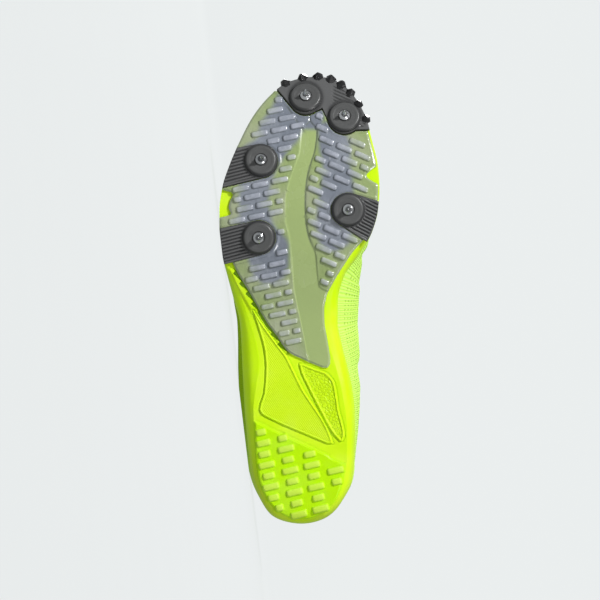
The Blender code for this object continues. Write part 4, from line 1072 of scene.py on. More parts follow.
def sheet_sections(plan, grid, drop, relief_of, edges, inset):
    """A sheet under the foam in closed sections from heel to toe. relief_of gives its depth past the drop."""
    stations, columns = grid
    first = max(plan[1][0] * SHOE_LENGTH, HEEL_UNDERCUT + EDGE_INSET)
    last = min(plan[-1][0] * SHOE_LENGTH, SHOE_LENGTH - TOE_UNDERCUT - EDGE_INSET)
    ends_round = (1 - np.cos(np.linspace(0, math.pi, stations))) / 2
    x = first + (last - first) * (0.75 * np.linspace(0, 1, stations) + 0.25 * ends_round)
    lateral, medial = trimmed_sides(plan, x, edges, inset)
    share = np.linspace(0.0, 1.0, columns)[None, :]
    y = lateral[:, None] + (medial - lateral)[:, None] * share
    grid_x = np.repeat(x[:, None], columns, axis=1)
    relief, marks = relief_of(grid_x, y)
    face = under_sole(grid_x, y, drop + relief)
    back = under_sole(grid_x, y, np.full(y.shape, FIT_GAP))[:, ::-BACK_COARSENESS]
    sections = np.concatenate([face, back], axis=1)
    zero = np.zeros(back.shape[:2])
    return tube(sections, capped=True, **{name: np.hstack([mark, zero]) for name, mark in marks.items()})


def tread_relief(x, y):
    """The tread's face: rounded at its edge."""
    inside = depth_inside(plan_outline(TREAD_PLAN, inset=EDGE_INSET), x, y)
    fall = TREAD_EDGE_FALL * (1 - smooth_step(inside, 0.0, TREAD_EDGE_WIDTH))
    return -fall, {"lug": np.zeros(x.shape)}


def make_tread(settings):
    """The heel's rubber tread: a thin sheet with rounded bars."""
    drop = FIT_GAP + TREAD_THICKNESS
    sheet = sheet_sections(TREAD_PLAN, TREAD_GRID, drop, tread_relief, under_edges, EDGE_INSET)
    bars = lug_bars(tread_lugs(), drop, LUG_HEIGHT, HEEL_LUG_WIDTH)
    mesh = piece_mesh("heel_tread", [sheet, *bars], ("lug",))
    return add_piece("heel_tread_rubber", mesh, rubber_finish(settings), ["heel_tread"])


def plate_relief(x, y):
    """The plate's face: rounded outer edge, a bead round each pod and a slightly sunk channel."""
    inside = depth_inside(plan_outline(PLATE_PLAN, 160, 0.0, plate_edges), x, y)
    relief = -PLATE_EDGE_FALL * (1 - smooth_step(inside, 0.0, PLATE_EDGE_WIDTH))
    from_pod = np.full(x.shape, 1.0)
    outlines = [pod_outline(*row[1:], FIT_GAP) for row in SIDE_PODS[1:]]
    for outline in [*outlines, toe_pod_outline(FIT_GAP)]:
        from_pod = np.minimum(from_pod, -depth_inside(outline, x, y))
    relief = relief + POD_BEAD * bump_at(from_pod, 0.0010, 0.0007)
    channel = depth_inside(plan_outline(CHANNEL_PLAN, 120), x, y)
    relief = relief - CHANNEL_SINK * smooth_step(channel, -0.0002, 0.0004)
    along = x / SHOE_LENGTH
    seam = bump_at(channel, 0.0, PLATE_LINE) * (y > 0.001) * smooth_step(along, 0.60, 0.64)
    step = bump_at(y - BALL_WIDTH * (0.02 - 1.9 * (along - 0.875)), 0.0, 0.0005)
    seam = np.maximum(seam, step * between(along, 0.865, 0.875, 0.925, 0.932))
    relief = relief - PLATE_SEAM_DEPTH * seam
    marks = {
        "lug": np.zeros(x.shape),
        "carrier": carrier_share(x, y),
        "seam": seam,
        "channel": smooth_step(channel, -0.0003, 0.0004),
        "edge": 1 - smooth_step(inside, 0.0, 0.0022),
    }
    return relief, marks


def carrier_share(x, y):
    """How much of the dark carrier shows through the plate at a point."""
    plans = (LATERAL_CARRIER_PLAN, MEDIAL_CARRIER_PLAN, SADDLE_PLAN)
    depth = np.max([depth_inside(plan_outline(plan), x, y) for plan in plans], axis=0)
    return smooth_step(depth, -0.0026, 0.0016)


def make_plate(settings):
    """The clear plate: a sheet cut away round every pod, with its two fields of rounded bars."""
    drop = FIT_GAP + PLATE_THICKNESS
    marks = ("lug", "carrier", "channel", "edge", "seam")
    sheet = sheet_sections(PLATE_PLAN, PLATE_GRID, drop, plate_relief, plate_edges, 0.0)
    outlines = [pod_outline(*row[1:], POD_ROOM) for row in SIDE_PODS[1:]] + [toe_pod_outline(POD_ROOM)]
    cutters = [piece_mesh(f"pod_room_{i}", [prism(outline)], ()) for i, outline in enumerate(outlines)]
    sheet = cut_away(piece_mesh("plate_sheet", [sheet], marks), cutters)
    bars = lug_bars(plate_lugs(), drop, LUG_HEIGHT, LUG_WIDTH)
    for points, _, values in bars:
        values["carrier"] = carrier_share(points[:, 0], points[:, 1])
    mesh = joined("spike_plate", [sheet, piece_mesh("plate_bars", bars, marks)])
    return add_piece("spike_plate_clear", mesh, plate_finish(settings), ["spike_plate"])


# Pods and spikes


def reach(centre, angles, outlines):
    """Distance from a centre to the nearest crossing of its rays with closed outlines, at each angle."""
    ray = directions(angles)
    nearest = np.full(len(angles), np.inf)
    for outline in outlines:
        start = np.asarray(outline, float) - centre
        run = np.roll(start, -1, axis=0) - start
        cross = ray[:, 0, None] * run[None, :, 1] - ray[:, 1, None] * run[None, :, 0]
        safe = np.where(np.abs(cross) < 1e-12, 1e-12, cross)
        away = (start[None, :, 0] * run[None, :, 1] - start[None, :, 1] * run[None, :, 0]) / safe
        share = (start[None, :, 0] * ray[:, 1, None] - start[None, :, 1] * ray[:, 0, None]) / safe
        hit = (share >= -1e-9) & (share <= 1 + 1e-9) & (away > 0)
        nearest = np.minimum(nearest, np.where(hit, away, np.inf).min(axis=1))
    return nearest


def pod_body(centre, outline, relief_of, facing, steps):
    """A pod as a polar grid: its face from the centre out to its outline, a rounded edge and a flat back."""
    centre = np.asarray(centre, float)
    x_rim = SHOE_LENGTH * (1 - np.cos(np.linspace(0.0, math.pi, 700))) / 2
    lateral_edge, medial_edge = sole_edges("rim", x_rim)
    sole = around(np.column_stack([x_rim, lateral_edge]), np.column_stack([x_rim, medial_edge]))
    sole = sole + outward(np.column_stack([sole, np.zeros(len(sole))]))[:, :2] * -0.0003
    corners = outline - centre
    even = np.linspace(0, 2 * math.pi, 1441)
    density = 1.0 + 2.5 * smooth_step(np.cos(even - facing), 0.55, 0.75)
    angles = spaced_by(density, even, steps, endpoint=False)
    angles = np.sort(np.concatenate([angles, np.arctan2(corners[:, 1], corners[:, 0]) % (2 * math.pi)]))
    far = reach(centre, angles, [outline, sole])
    shares = np.concatenate([np.linspace(0.0, 0.94, POD_RINGS), [0.955, 0.97, 0.98, 0.99, 1.0]])
    away = shares[:, None] * far[None, :]
    x = centre[0] + away * np.cos(angles)
    y = centre[1] + away * np.sin(angles)
    from_edge = far[None, :] - away
    relief, shade = relief_of(x, y, from_edge)
    depth = FIT_GAP + POD_THICKNESS + relief
    short = 1 - np.clip(from_edge / POD_EDGE_RADIUS, 0, 1)
    depth -= POD_EDGE_RADIUS * (1 - np.sqrt(np.clip(1 - short**2, 0, 1)))
    face = under_sole(x, y, depth)
    wall = [under_sole(x[-1], y[-1], np.full(len(angles), d)) for d in (0.0012, FIT_GAP)]
    back = [under_sole(x[i], y[i], np.full(len(angles), FIT_GAP)) for i in (40, 20, 0)]
    # Painted shade along the pod's edge.
    shade = np.maximum(shade, 1 - smooth_step(from_edge, 0.0003, 0.0010))
    shade = np.vstack([shade, np.ones((len(wall) + len(back), len(angles)))])
    return tube(np.concatenate([face, wall, back]), shade=shade)


def boss_part(spike):
    """The raised round seat of a spike, turned: rounded rim, shallow dish and a lip at the spike's hole."""
    profile = rounded(
        [
            (0.0, 0.75 * BOSS_HEIGHT),
            (SPIKE_COLLAR_RADIUS + 4 * CHAMFER, 0.75 * BOSS_HEIGHT),
            (SPIKE_COLLAR_RADIUS + 7 * CHAMFER, BOSS_HEIGHT - CHAMFER),
            (BOSS_DISH_RADIUS, BOSS_HEIGHT - CHAMFER),
            (BOSS_LIP_RADIUS, BOSS_HEIGHT),
            (BOSS_TOP_RADIUS, BOSS_HEIGHT),
            (BOSS_RADIUS, 0.35 * BOSS_HEIGHT),
            (BOSS_RADIUS + CHAMFER, -BOSS_ROOT),
        ],
        0.0005,
    )
    # Painted shade on the boss's sloping side and foot.
    shade = smooth_step(profile[:, :1], BOSS_TOP_RADIUS - 0.0002, BOSS_TOP_RADIUS + 0.0008)
    drop = FIT_GAP + POD_THICKNESS
    return turned(profile, *plan_point(*SPIKES[spike]), drop, BOSS_STEPS, boss=1.0, shade=shade)


def make_side_pod(settings, row):
    """A hard pod at the sole's side: ribs run from its round boss out to the sole's edge."""
    name, spike, back, front, sign = row
    centre = plan_point(*SPIKES[spike])
    outline = pod_outline(spike, back, front, sign)
    middle = (back + front) / 2 * SHOE_LENGTH
    edge = under_edges(middle)[0 if sign < 0 else 1]
    axis = unit(np.array([middle, edge]) - centre)

    def relief_of(x, y, from_edge):
        across = (x - centre[0]) * -axis[1] + (y - centre[1]) * axis[0]
        groove = bump_at((across / POD_RIB_PITCH) % 1.0, 0.5, 0.22)
        from_spike = np.hypot(x - centre[0], y - centre[1])
        clear = smooth_step(from_spike, BOSS_RADIUS + 0.0003, BOSS_RADIUS + 0.0012)
        groove = groove * clear * smooth_step(depth_inside(outline, x, y), 0.0010, 0.0018)
        at_boss = bump_at(from_spike, BOSS_RADIUS, 0.0012)
        # The second value is painted shade in the rib grooves and round the boss.
        return -SIDE_RIB_DEPTH * groove, np.maximum(0.85 * groove, 0.9 * at_boss)

    facing = math.atan2(axis[1], axis[0])
    body = pod_body(centre, outline, relief_of, facing, SIDE_POD_STEPS)
    mesh = piece_mesh(name, [body, boss_part(spike)], ("boss", "shade"))
    return add_piece(name + "_plastic", mesh, pod_finish(settings), [name])


def make_toe_pod(settings):
    """The hard toe piece: two bosses, short ribs beside them and a row of faceted teeth round the toe."""
    outline = toe_pod_outline()
    bosses = ("spike_toe_lateral", "spike_toe_medial")
    seats = [plan_point(*SPIKES[name]) for name in bosses]

    def relief_of(x, y, from_edge):
        from_seat = np.minimum(*(np.hypot(x - seat[0], y - seat[1]) for seat in seats))
        across = (x - seats[1][0]) * math.cos(TOE_RIB_TURN) - (y - seats[1][1]) * math.sin(TOE_RIB_TURN)
        groove = bump_at((across / POD_RIB_PITCH) % 1.0, 0.5, 0.20)
        clear = smooth_step(y, 0.019, 0.022)
        clear = clear * smooth_step(from_seat, BOSS_RADIUS + 0.0003, BOSS_RADIUS + 0.0012)
        groove = groove * clear * smooth_step(from_edge, 0.0025, 0.0035)
        at_boss = bump_at(from_seat, BOSS_RADIUS, 0.0012)
        # The second value is painted shade in the rib grooves and round the bosses.
        return -TOE_RIB_DEPTH * groove, np.maximum(0.6 * groove, 0.9 * at_boss)

    centre = plan_point(*TOE_POD_CENTRE)
    parts = [pod_body(centre, outline, relief_of, 0.6, TOE_POD_STEPS), *[boss_part(name) for name in bosses]]
    tooth = rounded(
        [
            (0.0, TOOTH_HEIGHT),
            (TOOTH_TIP_RADIUS, TOOTH_HEIGHT),
            (TOOTH_SHOULDER_RADIUS, TOOTH_SHOULDER_HEIGHT),
            (TOOTH_RADIUS, TOOTH_BASE_HEIGHT),
            (TOOTH_RADIUS - 2 * CHAMFER, -2 * CHAMFER),
            (0.0, -2 * CHAMFER),
        ],
        0.0003,
        3,
    )
    base = FIT_GAP + TOOTH_SEAT
    for share in TEETH:
        spot = plan_point(*share)
        out = unit(spot - centre)
        points, faces, marks = turned(tooth, *spot, base, TOOTH_SIDES, math.atan2(out[1], -out[0]), tooth=1.0)
        level = under_sole(points[:, 0], points[:, 1], np.full(len(points), base))[:, 2]
        up = np.clip((level - points[:, 2]) / TOOTH_HEIGHT, 0.0, 1.0)
        points[:, :2] += TOOTH_LEAN * up[:, None] * out
        parts.append((points, faces, marks))
    mesh = piece_mesh("toe_pod", parts, ("boss", "tooth", "shade"))
    return add_piece("toe_pod_plastic", mesh, pod_finish(settings), ["toe_pod"], 28.0)


def make_spike(settings, name):
    """A steel spike, turned: its collar on the boss, a waisted cone and a small rounded tip."""
    collar = FIT_GAP + SPIKE_COLLAR_HEIGHT
    profile = rounded(
        [
            (0.0, SPIKE_LENGTH),
            (SPIKE_TIP_RADIUS, SPIKE_LENGTH - CHAMFER),
            (0.68 * SPIKE_CONE_RADIUS, collar + 0.45 * (SPIKE_LENGTH - collar)),
            (0.85 * SPIKE_CONE_RADIUS, collar + 4 * CHAMFER),
            (SPIKE_CONE_RADIUS, collar + CHAMFER),
            (SPIKE_COLLAR_RADIUS - 4 * CHAMFER, collar - 3 * CHAMFER),
            (SPIKE_COLLAR_RADIUS, collar - 7 * CHAMFER),
            (SPIKE_COLLAR_RADIUS, FIT_GAP - SPIKE_FOOT),
            (0.0, FIT_GAP - SPIKE_FOOT),
        ],
        0.0003,
    )
    drop = FIT_GAP + POD_THICKNESS + BOSS_HEIGHT
    mesh = piece_mesh(name, [turned(profile, *plan_point(*SPIKES[name]), drop, SPIKE_STEPS)], ())
    return add_piece(name + "_steel", mesh, steel_finish(settings), [name])


# The upper


def upper_columns(along):
    """What shapes every column of the upper: feather, belly, shoulder and edge points, and overhang."""
    rim = outline_ring(along, "rim")
    normal = outward(rim)
    feather = rim - normal * RIM_INSET
    feather[:, 2] = level_height(feather[:, 0], "rim") + FEATHER_GAP
    get = {name: read(UPPER_COLUMNS, name, along, True) for name in UPPER_COLUMNS[0][1:]}
    both = {name: around(get[name], get[name])[:, None] for name in ("rise", "shoulder", "fall")}
    belly = around(get["belly_lateral"], get["belly_medial"])[:, None] * BALL_WIDTH
    overhang = around(get["overhang_lateral"], get["overhang_medial"])[:, None] * BALL_WIDTH
    x = SHOE_LENGTH * get["edge_along"]
    lateral = np.column_stack([x, BALL_WIDTH * get["edge_lateral"], INSTEP_HEIGHT * get["height_lateral"]])
    medial = np.column_stack([x, BALL_WIDTH * get["edge_medial"], INSTEP_HEIGHT * get["height_medial"]])
    edge = around(lateral, medial)
    up = np.array([0.0, 0.0, 1.0])
    belly_point = feather + normal * belly + up * both["rise"] * INSTEP_HEIGHT
    shoulder_point = edge + normal * both["shoulder"] * BALL_WIDTH - up * both["fall"] * INSTEP_HEIGHT
    return feather, belly_point, shoulder_point, edge, normal * overhang


def upper_point(columns, s):
    """Points of the upper's outer face at the share s of its columns: a cubic with an overhang low down."""
    a, b, c, d = columns[:4]
    swell = s / OVERHANG_PEAK * np.exp(1 - s / OVERHANG_PEAK)
    cubic = (1 - s) ** 3 * a + 3 * (1 - s) ** 2 * s * b + 3 * (1 - s) * s**2 * c + s**3 * d
    return cubic + columns[4] * swell


def eyelets(side):
    """Place and outward normal of each eyelet on one side, 0 lateral or 1 medial, and the edge beside it."""
    found = []
    for along in np.linspace(EYELET_FIRST, EYELET_LAST, EYELET_PAIRS):
        spread = 0.004 * np.arange(-2, 3)
        controls = upper_columns(np.concatenate([[0.0], along + spread, [1.0]]))
        index = 3 if side == 0 else 10
        column = [c[index] for c in controls]
        beside = [c[index + 1 if side == 0 else index - 1] for c in controls]
        s_values = np.linspace(1.0, 0.6, 81)
        line = np.array([upper_point(column, s) for s in s_values])
        s = float(np.interp(EYELET_FROM_EDGE, path_lengths(line), s_values))
        place = upper_point(column, s)
        down = upper_point(column, s - 0.02) - place
        forward = upper_point(beside, s) - place
        normal = unit(np.cross(forward, down))
        found.append((place, normal if normal[2] > 0 else -normal, column[3]))
    return found


def surface_normals(points):
    """Unit normals of a grid of points whose rows are closed rings."""
    across = np.roll(points, -1, axis=1) - np.roll(points, 1, axis=1)
    along = np.gradient(points, axis=0)
    return unit(np.cross(across, along))


# Creases of the upper: the column shares (along) where each trough starts low and ends high, the shares of
# the column between which it runs, its depth and half width in millimetres, and the side it is on
CREASES = (
    ("along_low", "along_high", "low", "high", "depth", "width", "side"),
    (0.600, 0.665, 0.10, 0.72, 0.70, 3.2, 1),
    (0.655, 0.735, 0.14, 0.80, 0.85, 3.4, 1),
    (0.712, 0.800, 0.22, 0.82, 0.60, 3.0, 1),
    (0.605, 0.680, 0.12, 0.74, 0.75, 3.2, -1),
    (0.668, 0.750, 0.16, 0.80, 0.80, 3.2, -1),
    (0.740, 0.815, 0.25, 0.84, 0.50, 2.8, -1),
    (0.335, 0.300, 0.30, 0.92, 0.90, 5.0, 1),
    (0.330, 0.292, 0.28, 0.92, 0.95, 5.0, -1),
    (0.270, 0.235, 0.36, 0.90, 0.55, 4.2, 1),
    (0.262, 0.228, 0.36, 0.90, 0.60, 4.2, -1),
    (0.130, 0.165, 0.30, 0.80, 0.45, 4.0, 1),
    (0.128, 0.168, 0.30, 0.82, 0.45, 4.0, -1),
)


def crease_depth(along, s, side):
    """Height of the soft troughs and of the swells beside them, from the crease table."""
    total = np.zeros(along.shape)
    for low_along, high_along, low, high, depth, width, which in CREASES[1:]:
        line = low_along + (high_along - low_along) * (s - low) / (high - low)
        off = (along - line) * SHOE_LENGTH * 1000 / width
        fade = between(s, low - 0.06, low + 0.12, high - 0.12, high + 0.06)
        wave = -np.exp(-(off**2)) + 0.45 * np.exp(-((off - 1.7) ** 2))
        total += (side == which) * fade * depth / 1000 * wave
    return total


def make_upper(settings):
    """The knit upper: outer face, rolled edge, inner face and foot of one hollow wall, its eyelets cut."""
    stations = UPPER_STATIONS
    along = even_stations(stations)
    columns = upper_columns(along)
    keep = [i for i in range(2 * stations + 2) if i not in (stations + 1, 2 * stations + 1)]
    columns = [c[keep] for c in columns]
    along_ring = around(along, along)[keep]
    side_ring = around(-np.ones(len(along)), np.ones(len(along)))[keep]
    shares = np.linspace(0.0, 1.0, UPPER_ROWS)
    outer = np.array([upper_point(columns, s) for s in shares])
    normal = surface_normals(outer)
    if (normal[40] * (outer[40] - outer[40].mean(axis=0))).sum() < 0:
        normal = -normal
    rise = np.concatenate(
        [np.zeros((1, outer.shape[1])), np.cumsum(np.linalg.norm(np.diff(outer, axis=0), axis=2), axis=0)]
    )
    from_edge = rise[-1] - rise
    along_grid = np.broadcast_to(along_ring, rise.shape)
    side_grid = np.broadcast_to(side_ring, rise.shape)
    share_grid = np.broadcast_to(shares[:, None], rise.shape)
    lift = settings.crease_scale * crease_depth(along_grid, share_grid, side_grid)
    eyestay = 1 - smooth_step(from_edge, EYESTAY_WIDTH, EYESTAY_WIDTH + OVERLAY_EDGE)
    eyestay = eyestay * smooth_step(along_grid, 0.385, 0.40)
    binding = 1 - smooth_step(from_edge, BINDING_WIDTH, BINDING_WIDTH + BINDING_EDGE)
    toe_guard = 1 - smooth_step(rise, TOE_GUARD_HEIGHT, TOE_GUARD_HEIGHT + OVERLAY_EDGE)
    toe_guard = toe_guard * smooth_step(along_grid, 0.80, 0.92)
    heel_guard = 1 - smooth_step(along_grid + rise * 3.2, 0.150, 0.156)
    guards = np.maximum(toe_guard, heel_guard)
    lift = lift + OVERLAY_LIFT * eyestay + OVERLAY_LIFT * guards
    lift = lift + BINDING_LIFT * binding * (1 - eyestay)
    face = outer + normal * lift[..., None]
    inner = outer - normal * UPPER_WALL
    edge_out = outer[-1] + unit(outer[-1] - outer[-2]) * EDGE_ROLL
    roll = edge_out - normal[-1] * UPPER_WALL / 2
    outer_roll = (face[-1] + 2 * roll) / 3 + normal[-1] * BINDING_LIFT
    rows = [*face, outer_roll, roll, (inner[-1] + 2 * roll) / 3, *inner[::-1][::2]]
    sections = np.array(rows)
    flat = np.zeros((len(rows) - len(face), outer.shape[1]))
    length_round = np.cumsum(np.linalg.norm(np.diff(outer[30], axis=0, prepend=outer[30][:1]), axis=1))
    marks = {
        "from_edge": from_edge,
        "eyestay": eyestay,
        "rise": rise,
        "run": np.broadcast_to(length_round, rise.shape),
        "overlay": np.max([eyestay, binding, guards], axis=0),
    }
    spread = {name: np.vstack([mark, flat]) for name, mark in marks.items()}
    spread["inside"] = np.vstack([np.zeros(rise.shape), flat + 1.0])
    spread["from_edge"] = np.vstack([from_edge, flat + 1.0])
    points, faces, values = tube(sections, **spread)
    around_foot = np.arange(outer.shape[1])
    last = (len(rows) - 1) * len(around_foot)
    following = np.roll(around_foot, -1)
    faces += np.stack([last + around_foot, last + following, following, around_foot], axis=-1).tolist()
    mesh = piece_mesh("upper", [(points, faces, values)], tuple(spread))
    cutters, rings = [], []
    for side in (0, 1):
        for place, direction, _ in eyelets(side):
            across = unit(np.cross(direction, [1.0, 0.0, 0.0]))
            ahead = np.cross(across, direction)
            ring = directions(full_turn(20)) @ np.array([ahead, across])
            hole = [place + EYELET_RADIUS * ring + direction * h for h in (-0.006, 0.004)]
            cutters.append(tube(hole, capped=True))
            size = EYELET_RADIUS + 0.0004
            rim = []
            for t in [*full_turn(8), 0.0]:
                wide = size + EYELET_RIM_WIDTH * math.cos(t)
                rim.append(place + wide * ring + direction * (BINDING_LIFT + EYELET_RIM_HEIGHT * math.sin(t)))
            rings.append(tube(rim, overlay=1.0))
    mesh = cut_away(mesh, [piece_mesh("eyelet_punches", cutters, ())])
    mesh = joined("upper", [mesh, piece_mesh("eyelet_rims", rings, tuple(spread))])
    return add_piece("upper_knit", mesh, knit_finish(settings, "upper_knit"), ["upper"], 50.0)


def make_insole(settings):
    """The insole: its top dips in the middle and its edge is rounded."""
    along = even_stations(INSOLE_STATIONS)
    rim = outline_ring(along, "rim")
    normal = outward(rim)
    inset = RIM_INSET + UPPER_WALL + INSOLE_CLEARANCE
    count = len(along)

    def ring_at(extra, lift):
        ring = rim - normal * (inset + extra)
        ring[:, 2] = level_height(ring[:, 0], "rim") + lift
        return ring

    outer_low, outer_high = ring_at(0.0, FIT_GAP), ring_at(INSOLE_TAPER, FIT_GAP + INSOLE_THICKNESS)
    share = np.linspace(0.0, 1.0, INSOLE_COLUMNS)[None, :, None]
    low_lateral, low_medial = outer_low[:count, None], outer_low[count:][::-1][:, None]
    high_lateral, high_medial = outer_high[:count, None], outer_high[count:][::-1][:, None]
    bottom = low_lateral * (1 - share) + low_medial * share
    top = high_medial * (1 - share) + high_lateral * share
    dish = INSOLE_DISH * np.sin(math.pi * share[..., 0]) ** 0.6
    top[..., 2] -= dish * between(along, 0.0, 0.05, 0.95, 1.0)[:, None]
    sections = np.concatenate([bottom, top], axis=1)
    mesh = piece_mesh("insole", [tube(sections)], ())
    return add_piece("insole_textile", mesh, lining_finish(settings), ["insole"])


def tongue_top(along, across):
    """Points of the tongue's upper face. across is from -1, lateral, to 1, medial."""
    height, half_width, droop = (read(TONGUE_PLAN, name, along) for name in ("height", "half_width", "droop"))
    y = BALL_WIDTH * (TONGUE_CENTRE + half_width * across)
    z = INSTEP_HEIGHT * (height - droop * across**2)
    return np.stack(np.broadcast_arrays(SHOE_LENGTH * along, y, z), axis=-1)


def make_tongue(settings):
    """The tongue: a thin curved sheet with a soft rounded edge."""
    along = np.linspace(TONGUE_PLAN[1][0], TONGUE_PLAN[-1][0], TONGUE_STATIONS)[:, None]
    across = np.linspace(-1.0, 1.0, TONGUE_COLUMNS)[None, :]
    top = tongue_top(along, across)
    normal = unit(np.cross(np.gradient(top, axis=0), np.gradient(top, axis=1)))
    if normal[..., 2].sum() < 0:
        normal = -normal
    ends = np.minimum(along - along[0], along[-1] - along) * SHOE_LENGTH
    sides = (1 - np.abs(across)) * 0.02
    from_edge = np.minimum(ends, sides)
    thin = np.clip(from_edge / TONGUE_EDGE_RADIUS, 0.0, 1.0)
    half = TONGUE_THICKNESS / 2 * np.sqrt(np.clip(1 - (1 - thin) ** 2, 0.0, 1.0))
    middle = top - normal * TONGUE_THICKNESS / 2
    puff = TONGUE_PUFF * smooth_step(from_edge, TONGUE_BINDING_WIDTH, 2 * TONGUE_BINDING_WIDTH)
    face = middle + normal * (half + puff)[..., None]
    back = middle - normal * half[..., None]
    sections = np.concatenate([face, back[:, ::-1]], axis=1)
    run = np.broadcast_to(along * SHOE_LENGTH, top.shape[:2])
    rise = top[..., 1]
    bound = 1 - smooth_step(from_edge, TONGUE_BINDING_WIDTH, TONGUE_BINDING_WIDTH + TONGUE_BINDING_EDGE)
    spread = {
        "run": np.hstack([run, run]),
        "rise": np.hstack([rise, rise[:, ::-1]]),
        "overlay": np.hstack([bound, bound[:, ::-1]]),
        "from_edge": np.ones((len(run), 2 * run.shape[1])),
    }
    mesh = piece_mesh("tongue", [tube(sections, capped=True, **spread)], (*spread, "inside", "eyestay"))
    return add_piece("tongue_knit", mesh, knit_finish(settings, "tongue_knit"), ["tongue"])


def spline(points, steps):
    """A smooth path through points: each span is a cubic whose ends follow the neighbouring points."""
    points = np.asarray(points, float)
    padded = np.vstack([2 * points[0] - points[1], points, 2 * points[-1] - points[-2]])
    s = np.linspace(0.0, 1.0, steps, endpoint=False)[:, None]
    spans = []
    for a, b, c, d in zip(padded, padded[1:], padded[2:], padded[3:]):
        spans.append(
            0.5 * (2 * b + (c - a) * s + (2 * a - 5 * b + 4 * c - d) * s**2 + (3 * b - a - 3 * c + d) * s**3)
        )
    return np.vstack([*spans, points[-1:]])


def lace_path():
    """Way points of the lace and the share of its full width at each: down one side, over the bar and up."""
    rows = [eyelets(0), eyelets(1)]
    above, below = LACE_CLEARANCE, UPPER_WALL + LACE_CLEARANCE

    def crossing(a, b, over):
        """Points over the tongue between two eyelets; over is whether this strand lies on the other."""
        start, end = a[2], b[2]
        points = []
        for share in (0.30, 0.5, 0.70):
            spot = start + (end - start) * share
            across = (spot[1] / BALL_WIDTH - TONGUE_CENTRE) / float(
                read(TONGUE_PLAN, "half_width", spot[0] / SHOE_LENGTH)
            )
            top = tongue_top(np.array(spot[0] / SHOE_LENGTH), np.array(across))
            lift = LACE_CLEARANCE * (2 if over and share == 0.5 else 1)
            points.append((np.array([spot[0], spot[1], max(top[2], spot[2] - 0.004) + lift]), LACE_WIDE))
        return points

    strands = []
    for first in (0, 1):
        side = first
        eyelet = rows[side][0]
        inward = np.array([0.0, 1.0 if side == 0 else -1.0, 0.0])
        points = [
            (eyelet[0] + eyelet[1] * above + inward * LACE_SLACK, LACE_GATHERED),
            (eyelet[0] - eyelet[1] * 0.0006, LACE_IN_EYELET),
            (eyelet[0] - eyelet[1] * below + inward * 0.0010, LACE_FOLDED),
        ]
        for i in range(1, EYELET_PAIRS):
            following = rows[1 - side][i]
            last = i == EYELET_PAIRS - 1
            points += crossing(eyelet, following, (i + first) % 2 == 0)
            side = 1 - side
            inward = -inward
            place, normal, edge = following
            if last:
                points += [
                    (place + normal * above + inward * LACE_CLEARANCE, LACE_GATHERED),
                    (place - normal * 0.0006, LACE_IN_EYELET),
                    (place - normal * (below + 0.001), LACE_IN_EYELET),
                ]
            else:
                points += [
                    (edge - normal * (UPPER_WALL + LACE_SLACK), 0.95),
                    (place - normal * below + inward * 0.0010, LACE_FOLDED),
                    (place - normal * 0.0006, LACE_IN_EYELET),
                    (place + normal * above + inward * LACE_SLACK, LACE_GATHERED),
                    (edge + normal * LACE_SLACK, LACE_WIDE),
                ]
            eyelet = following
        strands.append(points)
    bar = [
        (a + (b - a) * share + np.array([0.0, 0.0, lift]), LACE_WIDE)
        for a, b in [(strands[0][0][0], strands[1][0][0])]
        for share, lift in ((0.25, 0.0028), (0.5, 0.0036), (0.75, 0.0028))
    ]
    return [*strands[0][::-1], *bar, *strands[1]]


def make_laces(settings):
    """One flat lace: a rounded flat section carried along its path, its width kept along the shoe."""
    way = lace_path()
    path = spline([p for p, _ in way], LACE_SPAN_STEPS)
    width = spline([[w, 0.0, 0.0] for _, w in way], LACE_SPAN_STEPS)[:, 0]
    tangent = unit(np.gradient(path, axis=0))
    across = unit(np.array([1.0, 0.0, 0.0]) - tangent[:, :1] * tangent)
    up = np.cross(across, tangent)
    angle = full_turn(LACE_STEPS)
    flat = np.sign(np.cos(angle)) * np.abs(np.cos(angle)) ** 0.55
    thick = np.sign(np.sin(angle)) * np.abs(np.sin(angle)) ** 0.75
    half_width = LACE_WIDTH / 2 * width[:, None, None]
    half_thick = LACE_THICKNESS / 2 / np.sqrt(width)[:, None, None]
    sections = path[:, None] + half_width * flat[None, :, None] * across[:, None]
    sections = sections + half_thick * thick[None, :, None] * up[:, None]
    run = path_lengths(path)
    spread = {
        "run": np.repeat(run[:, None], len(angle), axis=1),
        "rise": LACE_WIDTH / 2 * np.repeat(flat[None, :], len(run), axis=0),
    }
    mesh = piece_mesh("laces", [tube(sections, capped=True, **spread)], ("run", "rise"))
    return add_piece("laces_woven", mesh, lace_finish(settings), ["laces"], 60.0)


# Materials

SEAM_FROM_EDGE = 0.0110
SEAM_PITCH = 0.0030
SEAM_HALF_WIDTH = 0.00035
HOLE_COLUMN_PITCH = 0.0026
HOLE_ROW_PITCH = 0.0034
INSOLE_YARN = 0.0011
LACE_RIB = 0.00070
LACE_LOOP = 0.00080
DUST_ON_FOAM = (0.55, 0.60, 0.30)
DUST_ON_RUBBER = (0.60, 0.66, 0.35)
SCRATCH_ON_PLATE = (0.60, 0.60, 0.62)
SCRATCH_ON_PLASTIC = (0.16, 0.16, 0.17)
DULL_STEEL = (0.40, 0.41, 0.43)


def feed(tree, socket, value):
    """Links a value to a socket, or sets it there where it is a plain one."""
    if isinstance(value, bpy.types.NodeSocket):
        tree.links.new(value, socket)
    else:
        socket.default_value = value


def node(tree, kind, inputs=None, **values):
    """Adds a shader node, sets its properties, and sets or links its inputs by name or place."""
    made = tree.nodes.new("ShaderNode" + kind)
    for key, value in values.items():
        setattr(made, key, value)
    for key, value in (inputs or {}).items():
        feed(tree, made.inputs[key], value)
    return made


def maths(tree, operation, first, second=0.0, clamp=False):
    """The result of a Math node."""
    return node(tree, "Math", {0: first, 1: second}, operation=operation, use_clamp=clamp).outputs[0]


def times(tree, first, second, clamp=False):
    """The product of two values."""
    return maths(tree, "MULTIPLY", first, second, clamp)


def plus(tree, first, second):
    """The sum of two values."""
    return maths(tree, "ADD", first, second)


